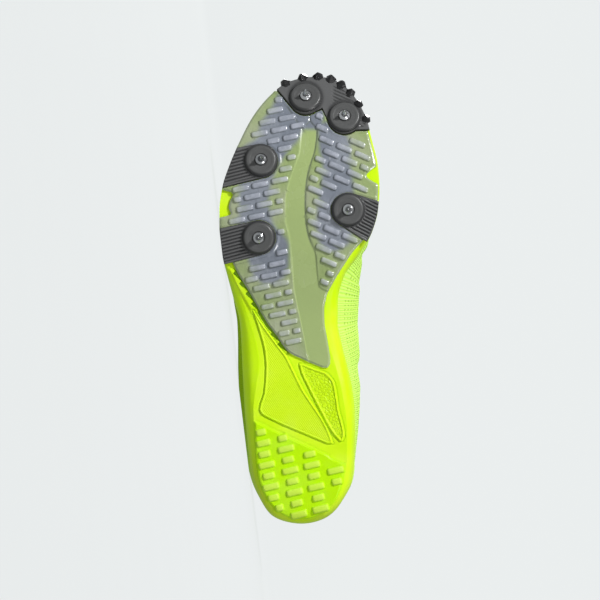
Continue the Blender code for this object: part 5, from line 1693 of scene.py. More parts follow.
def minus(tree, first, second, clamp=False):
    """The first value less the second."""
    return maths(tree, "SUBTRACT", first, second, clamp)


def larger(tree, first, second):
    """The larger of two values."""
    return maths(tree, "MAXIMUM", first, second)


def in_cell(tree, value, pitch):
    """Where a value lies between one multiple of a pitch and the next, from 0 to 1."""
    return maths(tree, "FRACT", maths(tree, "DIVIDE", value, pitch))


def off_middle(tree, value, pitch):
    """How far a value is from the middle between two multiples of a pitch, as a share of the pitch."""
    return maths(tree, "ABSOLUTE", minus(tree, in_cell(tree, value, pitch), 0.5))


def blend(tree, share, first, second):
    """A colour mixed from two by a share."""
    made = node(tree, "Mix", {"Factor": share}, data_type="RGBA", clamp_factor=True)
    for socket, value in ((made.inputs[6], first), (made.inputs[7], second)):
        feed(tree, socket, value if isinstance(value, bpy.types.NodeSocket) else (*tuple(value)[:3], 1.0))
    return made.outputs[2]


def band(tree, value, low, high, first=0.0, last=1.0):
    """A value mapped smoothly from low..high to first..last."""
    made = node(
        tree,
        "MapRange",
        {"Value": value, "From Min": low, "From Max": high, "To Min": first, "To Max": last},
        interpolation_type="SMOOTHSTEP",
    )
    return made.outputs["Result"]


def mark(tree, name, output="Fac"):
    """A value that the mesh carries at each point."""
    return node(tree, "Attribute", attribute_name=name, attribute_type="GEOMETRY").outputs[output]


def start_group(name, inputs, outputs):
    """A new node group with its sockets, or None where it is already made, and the group itself."""
    found = bpy.data.node_groups.get(name)
    if found:
        return None, found
    group = bpy.data.node_groups.new(name, "ShaderNodeTree")
    for socket, kind in inputs:
        group.interface.new_socket(name=socket, in_out="INPUT", socket_type=kind)
    for socket, kind in outputs:
        group.interface.new_socket(name=socket, in_out="OUTPUT", socket_type=kind)
    return group, group


def use_group(tree, group, **inputs):
    """Places a group in a material with its own values."""
    return node(tree, "Group", inputs, node_tree=group).outputs


def scuff_group():
    """Fine scratches and patchy dust over any hard or rubber surface."""
    fresh, group = start_group(
        "scuffs",
        [("Place", "NodeSocketVector"), ("Amount", "NodeSocketFloat")],
        [("Scuff", "NodeSocketFloat"), ("Dust", "NodeSocketFloat"), ("Height", "NodeSocketFloat")],
    )
    if fresh is None:
        return group
    start, end = group.nodes.new("NodeGroupInput"), group.nodes.new("NodeGroupOutput")
    stretched = node(group, "Mapping", {"Vector": start.outputs["Place"], "Scale": (90.0, 1100.0, 700.0)})
    lines = node(group, "TexNoise", {"Vector": stretched.outputs[0], "Scale": 1.0, "Detail": 3.0})
    patches = node(group, "TexNoise", {"Vector": start.outputs["Place"], "Scale": 55.0, "Detail": 4.0})
    scratch = band(group, lines.outputs["Fac"], 0.60, 0.74)
    patch = band(group, patches.outputs["Fac"], 0.45, 0.70)
    scuff = times(group, times(group, scratch, patch), start.outputs["Amount"], True)
    dust = times(group, patch, start.outputs["Amount"], True)
    for name, value in (("Scuff", scuff), ("Dust", dust), ("Height", times(group, scuff, -1.0))):
        group.links.new(value, end.inputs[name])
    return group


def grain_group():
    """Fine moulded grain: small soft cells with a finer noise on them."""
    fresh, group = start_group(
        "moulded_grain",
        [("Place", "NodeSocketVector"), ("Scale", "NodeSocketFloat")],
        [("Height", "NodeSocketFloat"), ("Tone", "NodeSocketFloat")],
    )
    if fresh is None:
        return group
    start, end = group.nodes.new("NodeGroupInput"), group.nodes.new("NodeGroupOutput")
    cells = node(group, "TexVoronoi", {"Vector": start.outputs["Place"], "Scale": start.outputs["Scale"]})
    noise = node(
        group, "TexNoise", {"Vector": start.outputs["Place"], "Scale": start.outputs["Scale"], "Detail": 5.0}
    )
    both = plus(group, cells.outputs["Distance"], times(group, noise.outputs["Fac"], 0.6))
    broad = node(group, "TexNoise", {"Vector": start.outputs["Place"], "Scale": 28.0, "Detail": 2.0})
    group.links.new(both, end.inputs["Height"])
    group.links.new(broad.outputs["Fac"], end.inputs["Tone"])
    return group


def stitch_group():
    """Knit or weave: ribs across, small loops along them and a slight unevenness from loop to loop."""
    fresh, group = start_group(
        "stitches",
        [
            ("Run", "NodeSocketFloat"),
            ("Rise", "NodeSocketFloat"),
            ("Rib", "NodeSocketFloat"),
            ("Loop", "NodeSocketFloat"),
        ],
        [("Height", "NodeSocketFloat"), ("Shade", "NodeSocketFloat")],
    )
    if fresh is None:
        return group
    start, end = group.nodes.new("NodeGroupInput"), group.nodes.new("NodeGroupOutput")
    get = start.outputs
    row = maths(group, "DIVIDE", get["Rise"], get["Rib"])
    turn = maths(group, "DIVIDE", get["Run"], get["Loop"])
    odd = times(group, maths(group, "MODULO", maths(group, "FLOOR", row), 2.0), 0.5)
    turn = plus(group, turn, odd)
    rib = maths(group, "ABSOLUTE", maths(group, "SINE", times(group, row, math.pi)))
    loop = maths(group, "ABSOLUTE", maths(group, "SINE", times(group, turn, math.pi)))
    yarn = node(group, "CombineXYZ", {"X": maths(group, "FLOOR", turn), "Y": maths(group, "FLOOR", row)})
    uneven = node(group, "TexWhiteNoise", {"Vector": yarn.outputs[0]}, noise_dimensions="2D")
    height = times(group, rib, plus(group, times(group, loop, 0.5), 0.5))
    height = plus(group, height, times(group, uneven.outputs["Value"], 0.12))
    group.links.new(height, end.inputs["Height"])
    shade = times(group, rib, plus(group, times(group, loop, 0.35), 0.65))
    group.links.new(shade, end.inputs["Shade"])
    return group


def start_material(name):
    """A new material with an empty Principled surface, or None where it is already made, and the material."""
    found = bpy.data.materials.get(name)
    if found:
        return None, None, found
    made = bpy.data.materials.new(name)
    made.use_nodes = True
    return made.node_tree, made.node_tree.nodes["Principled BSDF"], made


def finish_material(tree, shader, colour, roughness, height=None, distance=0.0002, strength=1.0, **fixed):
    """Links colour, roughness and bump to a shader and sets its fixed values."""
    tree.links.new(colour, shader.inputs["Base Color"])
    tree.links.new(roughness, shader.inputs["Roughness"])
    if height is not None:
        bump = node(tree, "Bump", {"Height": height, "Distance": distance, "Strength": strength})
        tree.links.new(bump.outputs[0], shader.inputs["Normal"])
    for name, value in fixed.items():
        shader.inputs[name.replace("_", " ")].default_value = value


def finish_neon_painted_glow(tree, shader, settings, colour, roughness, height, distance, specular):
    """Finishes a neon surface with a painted glow: whatever the lamps, it gives out a little light of its own
    colour, which lifts its shade.
    """
    fixed = {"Emission_Strength": settings.glow, "Specular_IOR_Level": specular}
    finish_material(tree, shader, colour, roughness, height, distance, **fixed)
    tree.links.new(colour, shader.inputs["Emission Color"])


def worn_surface(tree, grain, scuffs):
    """The shoe's own places, and the shared grain, at a scale, and scuffs, in an amount, over a surface."""
    place = mark(tree, "shoe", "Vector")
    moulded = use_group(tree, grain_group(), Place=place, Scale=grain)
    return place, moulded, use_group(tree, scuff_group(), Place=place, Amount=scuffs)


def foam_finish(settings):
    """Neon foam: soft skin, a dotted facet and a crackled facet, with painted shade in the cove beside the
    plate and in the grooves, dots and cracks, painted highlights on the panel lips, and painted light on the
    lateral sidewall.
    """
    tree, shader, made = start_material("neon_foam")
    if tree is None:
        return made
    place, grain, scuffs = worn_surface(tree, grain=2600.0, scuffs=0.5)
    turned_place = node(tree, "Mapping", {"Vector": place, "Rotation": (0.0, 0.0, 0.6), "Scale": (1, 1, 0)})
    dots = node(tree, "TexVoronoi", {"Vector": turned_place.outputs[0], "Scale": 950.0, "Randomness": 0.0})
    dot = times(tree, band(tree, dots.outputs["Distance"], 0.20, 0.42, 1.0, 0.0), mark(tree, "dotted"))
    flat_place = node(tree, "Mapping", {"Vector": place, "Scale": (1, 1, 0)})
    cracks = node(
        tree, "TexVoronoi", {"Vector": flat_place.outputs[0], "Scale": 520.0}, feature="DISTANCE_TO_EDGE"
    )
    crack = times(tree, band(tree, cracks.outputs[0], 0.0, 0.16, 1.0, 0.0), mark(tree, "crackle"))
    base = blend(tree, band(tree, grain["Tone"], 0.3, 0.7), settings.foam, settings.foam_tone_and_highlight)
    # Painted highlight on the arch panel's diagonal lip and the grip panel's rim; the dotted facet is drawn
    # lighter too.
    bright = larger(tree, times(tree, mark(tree, "dotted"), 0.5), mark(tree, "light"))
    base = blend(tree, bright, base, settings.foam_tone_and_highlight)
    # Painted shade: darker in the dots, the cracks, the cove beside the plate and the panels' grooves.
    shadow = larger(tree, times(tree, dot, 0.04), times(tree, crack, 0.08))
    shadow = larger(tree, shadow, times(tree, mark(tree, "cove"), 0.85))
    # Painted light: a brighter green on the lateral sidewall.
    base = blend(tree, mark(tree, "flank"), base, settings.foam_flank_painted_light)
    colour = blend(tree, shadow, base, settings.foam_painted_shade)
    colour = blend(tree, times(tree, scuffs["Dust"], 0.10), colour, DUST_ON_FOAM)
    height = times(tree, grain["Height"], 0.10)
    height = minus(tree, height, times(tree, dot, 0.35))
    height = minus(tree, height, times(tree, crack, 0.65))
    roughness = band(tree, grain["Tone"], 0.2, 0.8, 0.36, 0.50)
    finish_neon_painted_glow(tree, shader, settings, colour, roughness, height, distance=0.00035, specular=0.2)
    return made


def rubber_finish(settings):
    """Neon rubber of the heel tread: deeper between the bars, with a painted highlight that makes their tops
    lighter.
    """
    tree, shader, made = start_material("neon_rubber")
    if tree is None:
        return made
    _, grain, scuffs = worn_surface(tree, grain=1800.0, scuffs=0.8)
    # Painted highlight: the bars' tops lighter than the rubber between them.
    top = band(tree, mark(tree, "lug"), 0.1, 1.0)
    colour = blend(tree, top, settings.rubber, settings.rubber_painted_top_highlight)
    colour = blend(tree, times(tree, scuffs["Dust"], 0.06), colour, DUST_ON_RUBBER)
    height = plus(tree, times(tree, grain["Height"], 0.5), scuffs["Height"])
    roughness = plus(tree, band(tree, top, 0.0, 1.0, 0.30, 0.42), times(tree, scuffs["Scuff"], 0.2))
    finish_neon_painted_glow(tree, shader, settings, colour, roughness, height, distance=0.00008, specular=0.12)
    return made


def plate_finish(settings):
    """Frosted clear plastic over neon foam and dark carriers: tinted by what lies under it, glossy on top,
    with painted highlights on its bars' tops and painted shade at their feet.
    """
    tree, shader, made = start_material("frosted_plate")
    if tree is None:
        return made
    place, grain, scuffs = worn_surface(tree, grain=1200.0, scuffs=0.9)
    cloud = band(tree, grain["Tone"], 0.35, 0.65)
    over_foam = blend(tree, cloud, settings.plate_olive, settings.plate_grey)
    over_foam = blend(tree, mark(tree, "channel"), over_foam, settings.plate_channel)
    carrier = blend(tree, cloud, settings.plate_slate, settings.plate_slate_light)
    base = blend(tree, mark(tree, "carrier"), over_foam, carrier)
    # Painted highlight: the bars' tops drawn lighter, in patches.
    top = band(tree, mark(tree, "lug"), 0.35, 1.0)
    lug_colour = blend(tree, mark(tree, "carrier"), settings.lug_over_foam, settings.lug_over_carrier)
    mottle = node(tree, "TexNoise", {"Vector": place, "Scale": 170.0, "Detail": 3.0})
    patchy = band(tree, mottle.outputs["Fac"], 0.35, 0.65, 0.45, 1.0)
    colour = blend(tree, times(tree, top, patchy), base, lug_colour)
    # Painted shade: a dark line round the foot of each bar.
    foot = band(tree, mark(tree, "lug"), 0.03, 0.12)
    foot = times(tree, foot, band(tree, mark(tree, "lug"), 0.25, 0.75, 1.0, 0.0))
    colour = blend(tree, times(tree, foot, 0.22), colour, settings.seam_line_and_painted_shade)
    colour = blend(tree, times(tree, mark(tree, "edge"), 0.15), colour, settings.lug_over_foam)
    colour = blend(tree, times(tree, mark(tree, "seam"), 0.7), colour, settings.seam_line_and_painted_shade)
    colour = blend(tree, times(tree, scuffs["Scuff"], 0.15), colour, SCRATCH_ON_PLATE)
    ripple = node(tree, "TexNoise", {"Vector": place, "Scale": 210.0, "Detail": 2.0})
    height = plus(tree, times(tree, grain["Height"], 0.10), times(tree, scuffs["Height"], 0.3))
    wavy = minus(tree, 4.5, times(tree, mark(tree, "channel"), 3.7))
    height = plus(tree, height, times(tree, ripple.outputs["Fac"], wavy))
    roughness = band(tree, scuffs["Dust"], 0.0, 1.0, 0.20, 0.42)
    finish_material(tree, shader, colour, roughness, height, 0.00012, Coat_Weight=0.8, Coat_Roughness=0.06)
    return made


def pod_finish(settings):
    """Hard dark plastic: satin bosses and glossier near-black teeth, with painted shade along the edges, in
    the rib grooves and round the bosses.
    """
    tree, shader, made = start_material("hard_plastic")
    if tree is None:
        return made
    _, grain, scuffs = worn_surface(tree, grain=2200.0, scuffs=1.0)
    colour = blend(tree, mark(tree, "boss"), settings.plastic, settings.plastic_boss)
    # Painted shade: the shade mark darkens the pods' edges, rib grooves and bosses' sides towards the teeth's
    # black.
    dark = larger(tree, mark(tree, "tooth"), times(tree, mark(tree, "shade"), 0.75))
    colour = blend(tree, dark, colour, settings.tooth_black_and_painted_shade)
    colour = blend(tree, times(tree, scuffs["Scuff"], 0.30), colour, SCRATCH_ON_PLASTIC)
    height = plus(tree, times(tree, grain["Height"], 0.35), scuffs["Height"])
    roughness = plus(tree, band(tree, grain["Tone"], 0.3, 0.7, 0.34, 0.46), times(tree, scuffs["Scuff"], 0.2))
    roughness = minus(tree, roughness, times(tree, mark(tree, "tooth"), 0.16))
    finish_material(tree, shader, colour, roughness, height, 0.00005)
    return made


def steel_finish(settings):
    """Turned steel: bright, with fine marks of the tool round its axis."""
    tree, shader, made = start_material("turned_steel")
    if tree is None:
        return made
    place = mark(tree, "shoe", "Vector")
    scuffs = use_group(tree, scuff_group(), Place=place, Amount=1.0)
    stretched = node(tree, "Mapping", {"Vector": place, "Scale": (300, 300, 9000)})
    marks = node(tree, "TexNoise", {"Vector": stretched.outputs[0]})
    colour = blend(tree, scuffs["Dust"], settings.steel, DULL_STEEL)
    roughness = band(tree, marks.outputs[0], 0.3, 0.7, 0.15, 0.23)
    roughness = plus(tree, roughness, times(tree, scuffs["Scuff"], 0.2))
    finish_material(tree, shader, colour, roughness, marks.outputs[0], 0.00001, Metallic=1.0)
    return made


def knit_finish(settings, name):
    """Knit yarn: fine ribs, perforations above the sole, smooth fused overlays and a plain lining inside,
    with painted shade between the ribs, in the perforations and low on the lateral side.
    """
    tree, shader, made = start_material(name)
    if tree is None:
        return made
    run, rise = mark(tree, "run"), mark(tree, "rise")
    fine = use_group(tree, stitch_group(), Run=rise, Rise=run, Rib=settings.knit_rib, Loop=settings.knit_loop)
    place = mark(tree, "shoe", "Vector")
    grain = use_group(tree, grain_group(), Place=place, Scale=1500.0)
    overlay, inside = mark(tree, "overlay"), mark(tree, "inside")
    column = off_middle(tree, run, HOLE_COLUMN_PITCH)
    line = off_middle(tree, rise, HOLE_ROW_PITCH)
    far = maths(tree, "SQRT", plus(tree, times(tree, column, column), times(tree, line, line)))
    hole = band(tree, far, 0.13, 0.22, 1.0, 0.0)
    for share in (
        minus(tree, 1.0, overlay, True),
        minus(tree, 1.0, inside, True),
        band(tree, rise, 0.006, 0.007),
        band(tree, rise, 0.024, 0.026, 1.0, 0.0),
    ):
        hole = times(tree, hole, share)
    # Painted shade between the knit's ribs and loops.
    colour = blend(tree, fine["Shade"], settings.knit_painted_shade, settings.knit)
    colour = blend(tree, times(tree, overlay, 0.85), colour, settings.overlay)
    # Painted shade: low on the lateral side the knit turns a deeper green.
    side = node(tree, "SeparateXYZ", {"Vector": place}).outputs["Y"]
    low = times(tree, band(tree, side, -0.037, -0.030, 1.0, 0.0), band(tree, rise, 0.030, 0.042, 1.0, 0.0))
    colour = blend(tree, low, colour, settings.knit_low_painted_shade)
    # Painted shade in the perforations.
    colour = blend(tree, times(tree, hole, 0.55), colour, settings.knit_hole_painted_shade)
    at_seam = {0: mark(tree, "from_edge"), 1: SEAM_FROM_EDGE, 2: SEAM_HALF_WIDTH}
    seam = node(tree, "Math", at_seam, operation="COMPARE")
    dash = band(tree, in_cell(tree, run, SEAM_PITCH), 0.70, 0.80, 1.0, 0.0)
    stitch = times(tree, times(tree, seam.outputs[0], dash), mark(tree, "eyestay"))
    colour = blend(tree, times(tree, stitch, 0.8), colour, settings.stitch)
    colour = blend(tree, inside, colour, settings.lining_light)
    soft = minus(tree, 1.0, times(tree, overlay, 0.85), True)
    height = times(tree, fine["Height"], soft)
    height = minus(tree, height, times(tree, hole, 1.2))
    height = plus(tree, height, times(tree, grain["Height"], 0.12))
    height = plus(tree, height, stitch)
    roughness = band(tree, overlay, 0.0, 1.0, 0.78, 0.48)
    finish_neon_painted_glow(tree, shader, settings, colour, roughness, height, distance=0.00030, specular=0.15)
    return made


def lining_finish(settings):
    """Dark brushed textile of the insole."""
    tree, shader, made = start_material("insole_textile")
    if tree is None:
        return made
    place = mark(tree, "shoe", "Vector")
    parts = node(tree, "SeparateXYZ", {"Vector": place})
    run, rise = parts.outputs[0], parts.outputs[1]
    weave = use_group(tree, stitch_group(), Run=run, Rise=rise, Rib=INSOLE_YARN, Loop=INSOLE_YARN)
    grain = use_group(tree, grain_group(), Place=place, Scale=900.0)
    # Painted shade between the yarns; the grain's tone gives lighter patches.
    weave_painted_shade, worn = ([share * value for value in settings.lining] for share in (0.5, 1.6))
    colour = blend(tree, weave["Shade"], weave_painted_shade, settings.lining)
    colour = blend(tree, times(tree, grain["Tone"], 0.4), colour, worn)
    roughness = band(tree, grain["Tone"], 0.2, 0.8, 0.82, 0.95)
    finish_material(tree, shader, colour, roughness, weave["Height"], 0.0002, Sheen_Weight=0.3)
    return made


def lace_finish(settings):
    """Flat woven lace."""
    tree, shader, made = start_material("woven_lace")
    if tree is None:
        return made
    run, rise = mark(tree, "run"), mark(tree, "rise")
    skewed = plus(tree, run, maths(tree, "ABSOLUTE", rise))
    weave = use_group(tree, stitch_group(), Run=rise, Rise=skewed, Rib=LACE_RIB, Loop=LACE_LOOP)
    grain = use_group(tree, grain_group(), Place=mark(tree, "shoe", "Vector"), Scale=1500.0)
    # Painted shade between the lace's ribs.
    colour = blend(tree, weave["Shade"], settings.knit_painted_shade, settings.lace)
    roughness = band(tree, grain["Tone"], 0.2, 0.8, 0.70, 0.85)
    finish_neon_painted_glow(tree, shader, settings, colour, roughness, weave["Height"], distance=0.00022, specular=0.15)
    return made


# The stage

PAPER_LIGHT = (0.965, 1.0, 1.0)
WORLD_LIGHT = (0.985, 1.0, 1.0, 1.0)
LIGHTS_AIM = (0.0, 0.0, 0.05)
CAMERA_AIM_HEIGHT = 0.010
CAMERA_SENSOR = 36.0
PAPER_NEAR = -1.2
PAPER_FAR = 1.6

# The paper's bowl: radius and height, from the middle of its floor to its rim
SWEEP_PROFILE = ((0.0, 0.0), (0.9, 0.0), (1.8, 0.0), (2.3, 0.10), (2.6, 0.5), (2.75, 1.2), (2.8, 2.6))

# Name, place, size and spread in degrees of each light. The setting of the same name holds its power
LIGHTS = (
    ("key", (-1.0, -1.25, 1.55), 0.20, 180),
    ("spark", (0.8, -1.3, 1.0), 0.40, 180),
    ("fill", (0.9, -1.9, 0.9), 1.6, 180),
    ("rear", (-1.1, 1.7, 0.70), 0.6, 40),
)


def paper_finish(settings):
    """Matt paper that gives even light: more from far away, and less onto the shoe than to the camera."""
    tree, shader, paper = start_material("studio_paper")
    place = node(tree, "TexCoord").outputs["Object"]
    soft = node(tree, "TexNoise", {"Vector": place, "Scale": 40.0})
    shade = [0.98 * value for value in settings.backdrop]
    colour = blend(tree, band(tree, soft.outputs["Fac"], 0.3, 0.7), settings.backdrop, shade)
    depth = node(tree, "SeparateXYZ", {"Vector": place}).outputs["Y"]
    near, far, bounced = (
        [glow * value for value in PAPER_LIGHT]
        for glow in (settings.glow_near, settings.glow_far, settings.glow_bounced)
    )
    lit = blend(tree, band(tree, depth, PAPER_NEAR, PAPER_FAR), near, far)
    lit = blend(tree, node(tree, "LightPath").outputs["Is Camera Ray"], bounced, lit)
    rough = band(tree, soft.outputs["Fac"], 0.0, 1.0, 0.9, 0.95)
    finish_material(tree, shader, colour, rough, Emission_Strength=1.0, Specular_IOR_Level=0.0)
    tree.links.new(lit, shader.inputs["Emission Color"])
    return paper


def make_sweep(settings):
    """A seamless round sweep of pale paper."""
    bowl = spline([(radius, 0.0, height) for radius, height in SWEEP_PROFILE], 8)
    circle = directions(full_turn(96))
    radius, height = bowl[:, 0, None], np.maximum(bowl[:, 2, None], 0.0)
    flat = np.ones(len(circle))
    rings = np.stack([radius * circle[:, 0], radius * circle[:, 1], height * flat], axis=-1)
    mesh = bpy.data.meshes.new("sweep")
    mesh.from_pydata(rings.reshape(-1, 3).tolist(), [], grid_faces(len(bowl), len(circle), True).tolist())
    work = bmesh.new()
    work.from_mesh(mesh)
    bmesh.ops.remove_doubles(work, verts=work.verts, dist=1e-5)
    work.to_mesh(mesh)
    work.free()
    mesh.shade_smooth()
    sweep = new_object("sweep", mesh)
    sweep.data.materials.append(paper_finish(settings))


def make_lights(settings):
    """The studio's even light, and the key, spark, fill and rear lights."""
    world = bpy.data.worlds.new("studio")
    world.use_nodes = True
    inputs = world.node_tree.nodes["Background"].inputs
    inputs["Color"].default_value = WORLD_LIGHT
    inputs["Strength"].default_value = settings.ambient
    bpy.context.scene.world = world
    for name, place, size, spread in LIGHTS:
        light = bpy.data.lights.new(name, "AREA")
        light.size = size
        light.energy = getattr(settings, name + "_power")
        light.spread = math.radians(spread)
        lamp = new_object(name, light)
        lamp.location = place
        lamp.rotation_euler = (Vector(LIGHTS_AIM) - Vector(place)).to_track_quat("-Z", "Y").to_euler()


def make_camera(settings):
    """The camera, square to the sole with the toe up."""
    data = bpy.data.cameras.new("camera")
    camera = new_object("camera", data)
    target = np.array([SHOE_LENGTH / 2 + settings.aim_ahead, settings.aim_medial, CAMERA_AIM_HEIGHT])
    eye = to_world(target - np.array([0.0, 0.0, settings.camera_distance]))
    right, up, back = TURN @ [0.0, 1.0, 0.0], TURN @ [1.0, 0.0, 0.0], TURN @ [0.0, 0.0, -1.0]
    turn = Matrix(np.column_stack([right, up, back])).to_4x4()
    camera.matrix_world = Matrix.Translation(Vector(eye)) @ turn
    data.sensor_width = CAMERA_SENSOR
    data.lens = CAMERA_SENSOR * settings.camera_distance / settings.frame_width
    data.clip_start, data.clip_end = 0.01, 20.0
    bpy.context.scene.camera = camera


def make_stage(settings):
    """The sweep of paper, the lights and the camera that looks up at the sole."""
    make_sweep(settings)
    make_lights(settings)
    bpy.context.scene.view_settings.view_transform = "Standard"
    make_camera(settings)


# The add-on


def colour_value(name, description, default):
    """A colour property."""
    return bpy.props.FloatVectorProperty(
        name=name, description=description, default=default, subtype="COLOR", size=3, min=0.0, max=1.0
    )


def number(name, description, default, unit="NONE"):
    """A number property."""
    return bpy.props.FloatProperty(
        name=name, description=description, default=default, unit=unit, precision=5
    )


class SpikeShoeSettings(bpy.types.PropertyGroup):
    """Colours and sizes that a user may change before building."""

    foam: colour_value("Foam", "Neon foam of the midsole", (0.515, 0.785, 0.001))
    # Also the painted highlight on the panel lips and the lighter dotted facet.
    foam_tone_and_highlight: colour_value("Light foam", "Lighter patches of the foam", (0.58, 0.82, 0.010))
    # Painted light: the lateral sidewall's own brighter green, which lifts it out of shade.
    foam_flank_painted_light: colour_value("Foam flank", "Deeper green of the lateral sidewall", (0.62, 0.98, 0.001))
    # Painted shade in the foam's grooves, dots, cracks and the cove beside the plate.
    foam_painted_shade: colour_value("Deep foam", "Foam in its grooves", (0.12, 0.26, 0.001))
    rubber: colour_value("Rubber", "Heel tread between its bars", (0.44, 0.77, 0.001))
    # Painted highlight on the tops of the heel's bars.
    rubber_painted_top_highlight: colour_value("Rubber tops", "Tops of the heel's bars", (0.53, 0.77, 0.06))
    plate_olive: colour_value("Olive plate", "Clear plate over foam", (0.26, 0.34, 0.12))
    plate_grey: colour_value("Grey plate", "Frosted patches of the plate", (0.32, 0.36, 0.22))
    plate_channel: colour_value("Channel", "Smooth channel of the plate", (0.32, 0.41, 0.15))
    # Also the painted shade at the foot of the plate's bars.
    seam_line_and_painted_shade: colour_value("Seams", "Thin dark lines in the plate", (0.10, 0.12, 0.10))
    plate_slate: colour_value("Slate plate", "Clear plate over the dark carriers", (0.165, 0.185, 0.225))
    plate_slate_light: colour_value("Light slate", "Frosted patches over the carriers", (0.22, 0.24, 0.28))
    # Painted highlight: the lighter tops of the plate's bars.
    lug_over_foam: colour_value("Bars over foam", "Tops of the plate's bars over foam", (0.40, 0.43, 0.42))
    lug_over_carrier: colour_value("Bars over carrier", "Tops of bars over the carriers", (0.34, 0.36, 0.42))
    plastic: colour_value("Pods", "Hard pods", (0.098, 0.099, 0.100))
    plastic_boss: colour_value("Bosses", "Seats of the spikes", (0.073, 0.074, 0.074))
    # Also the painted shade of the pods' edges, grooves and bosses.
    tooth_black_and_painted_shade: colour_value("Teeth", "Teeth round the toe", (0.016, 0.016, 0.017))
    steel: colour_value("Steel", "Spikes", (0.72, 0.73, 0.75))
    knit: colour_value("Knit", "Yarn of the upper", (0.60, 0.90, 0.18))
    # Painted shade between the ribs of the knit and the lace.
    knit_painted_shade: colour_value("Deep knit", "Between the ribs", (0.47, 0.79, 0.07))
    # Painted shade in the perforations of the knit.
    knit_hole_painted_shade: colour_value("Perforations", "Small holes of the knit", (0.26, 0.42, 0.02))
    # Painted shade low on the lateral side of the knit.
    knit_low_painted_shade: colour_value("Low knit", "Knit low on the lateral side", (0.36, 0.62, 0.005))
    overlay: colour_value("Overlays", "Fused bands of the upper", (0.58, 0.90, 0.07))
    stitch: colour_value("Stitches", "Seam stitches of the upper", (0.80, 0.97, 0.35))
    lining: colour_value("Insole", "Insole textile", (0.030, 0.032, 0.034))
    lining_light: colour_value("Lining", "Inside of the upper", (0.46, 0.72, 0.03))
    lace: colour_value("Lace", "Flat lace", (0.64, 0.94, 0.05))
    backdrop: colour_value("Backdrop", "Paper sweep", (0.08, 0.082, 0.082))
    # Painted glow: the strength of the light of their own colour that the neon surfaces give out.
    glow: number("Neon glow", "Light that the neon dyes give back", 0.06)
    crease_scale: number("Crease depth", "Share of the charted depth of the upper's creases", 1.6)
    knit_rib: number("Rib", "Distance from rib to rib of the knit", 0.0014, "LENGTH")
    knit_loop: number("Loop", "Distance from loop to loop of the knit", 0.0009, "LENGTH")
    ambient: number("Ambient light", "Strength of the studio's even light", 0.24)
    glow_near: number("Near paper light", "Light that the paper near the shoe gives", 0.722)
    glow_bounced: number("Bounced light", "Light that the paper sends back onto the shoe", 0.29)
    glow_far: number("Far paper light", "Light that the paper behind the shoe gives", 0.81)
    key_power: number("Key light", "Power of the key light in watts", 47.0)
    spark_power: number("Spark light", "Power of the small light that makes the glints in watts", 6.0)
    fill_power: number("Fill light", "Power of the fill light in watts", 4.5)
    rear_power: number("Rear light", "Power of the light on the upper in watts", 1.7)
    camera_distance: number("Camera distance", "From the camera to the sole", 1.6, "LENGTH")
    frame_width: number("Frame width", "Width of the photographed field at the sole", 0.3733, "LENGTH")
    aim_ahead: number("Aim ahead", "How far toe-wards of mid-shoe the camera aims", 0.0, "LENGTH")
    aim_medial: number("Aim medial", "How far to the medial side the camera aims", 0.0, "LENGTH")


def settings_now():
    """The settings of the scene."""
    return bpy.context.scene.spike_shoe


class SHOE_OT_midsole(bpy.types.Operator):
    """Builds the foam midsole"""

    bl_idname = "spike_shoe.midsole"
    bl_label = "Midsole"

    def execute(self, context):
        make_midsole(settings_now())
        return {"FINISHED"}


class SHOE_OT_tread(bpy.types.Operator):
    """Builds the heel tread"""

    bl_idname = "spike_shoe.tread"
    bl_label = "Heel tread"

    def execute(self, context):
        make_tread(settings_now())
        return {"FINISHED"}


class SHOE_OT_plate(bpy.types.Operator):
    """Builds the clear spike plate"""

    bl_idname = "spike_shoe.plate"
    bl_label = "Spike plate"

    def execute(self, context):
        make_plate(settings_now())
        return {"FINISHED"}


class SHOE_OT_pods(bpy.types.Operator):
    """Builds the hard pods"""

    bl_idname = "spike_shoe.pods"
    bl_label = "Pods"

    def execute(self, context):
        for row in SIDE_PODS[1:]:
            make_side_pod(settings_now(), row)
        make_toe_pod(settings_now())
        return {"FINISHED"}


class SHOE_OT_spikes(bpy.types.Operator):
    """Builds the steel spikes"""

    bl_idname = "spike_shoe.spikes"
    bl_label = "Spikes"

    def execute(self, context):
        for name in SPIKES:
            make_spike(settings_now(), name)
        return {"FINISHED"}


class SHOE_OT_upper(bpy.types.Operator):
    """Builds the knit upper"""

    bl_idname = "spike_shoe.upper"
    bl_label = "Upper"

    def execute(self, context):
        make_upper(settings_now())
        return {"FINISHED"}


class SHOE_OT_insole(bpy.types.Operator):
    """Builds the insole"""

    bl_idname = "spike_shoe.insole"
    bl_label = "Insole"

    def execute(self, context):
        make_insole(settings_now())
        return {"FINISHED"}


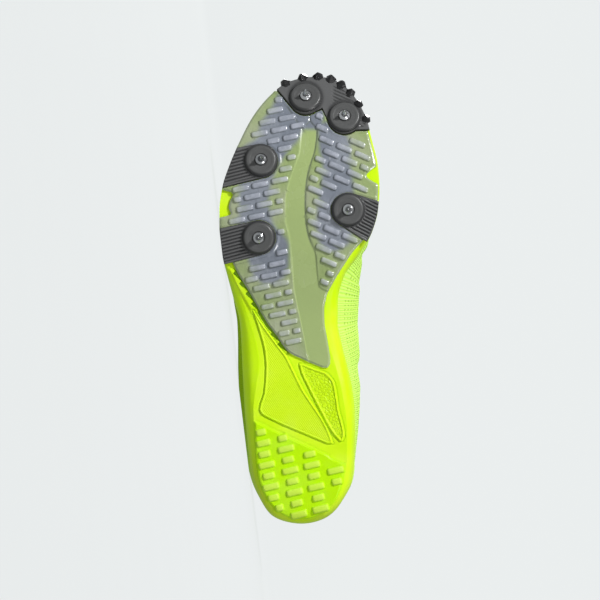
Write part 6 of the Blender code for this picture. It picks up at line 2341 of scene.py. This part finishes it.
class SHOE_OT_tongue(bpy.types.Operator):
    """Builds the tongue"""

    bl_idname = "spike_shoe.tongue"
    bl_label = "Tongue"

    def execute(self, context):
        make_tongue(settings_now())
        return {"FINISHED"}


class SHOE_OT_laces(bpy.types.Operator):
    """Builds the lace"""

    bl_idname = "spike_shoe.laces"
    bl_label = "Laces"

    def execute(self, context):
        make_laces(settings_now())
        return {"FINISHED"}


class SHOE_OT_stage(bpy.types.Operator):
    """Builds the backdrop, the lights and the camera"""

    bl_idname = "spike_shoe.stage"
    bl_label = "Stage"

    def execute(self, context):
        make_stage(settings_now())
        return {"FINISHED"}


OPERATORS = (
    SHOE_OT_midsole,
    SHOE_OT_tread,
    SHOE_OT_plate,
    SHOE_OT_pods,
    SHOE_OT_spikes,
    SHOE_OT_upper,
    SHOE_OT_insole,
    SHOE_OT_tongue,
    SHOE_OT_laces,
    SHOE_OT_stage,
)


class SHOE_PT_sidebar(bpy.types.Panel):
    """Lists the shoe's pieces in the 3D view's sidebar"""

    bl_idname = "SHOE_PT_sidebar"
    bl_label = "Spike shoe"
    bl_space_type = "VIEW_3D"
    bl_region_type = "UI"
    bl_category = "Spike shoe"

    def draw(self, context):
        column = self.layout.column(align=True)
        for operator in OPERATORS:
            column.operator(operator.bl_idname)
        for name in SpikeShoeSettings.__annotations__:
            self.layout.prop(settings_now(), name)


def register():
    """Registers the settings, the operators and the panel."""
    for made in (SpikeShoeSettings, *OPERATORS, SHOE_PT_sidebar):
        bpy.utils.register_class(made)
    bpy.types.Scene.spike_shoe = bpy.props.PointerProperty(type=SpikeShoeSettings)


def unregister():
    """Takes back what register added."""
    del bpy.types.Scene.spike_shoe
    for made in (SHOE_PT_sidebar, *reversed(OPERATORS), SpikeShoeSettings):
        bpy.utils.unregister_class(made)


def main():
    """Builds every piece and the stage."""
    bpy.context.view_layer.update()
    register()
    for operator in OPERATORS:
        group, action = operator.bl_idname.split(".")
        getattr(getattr(bpy.ops, group), action)()
    bpy.context.view_layer.update()


if __name__ == "__main__":
    main()
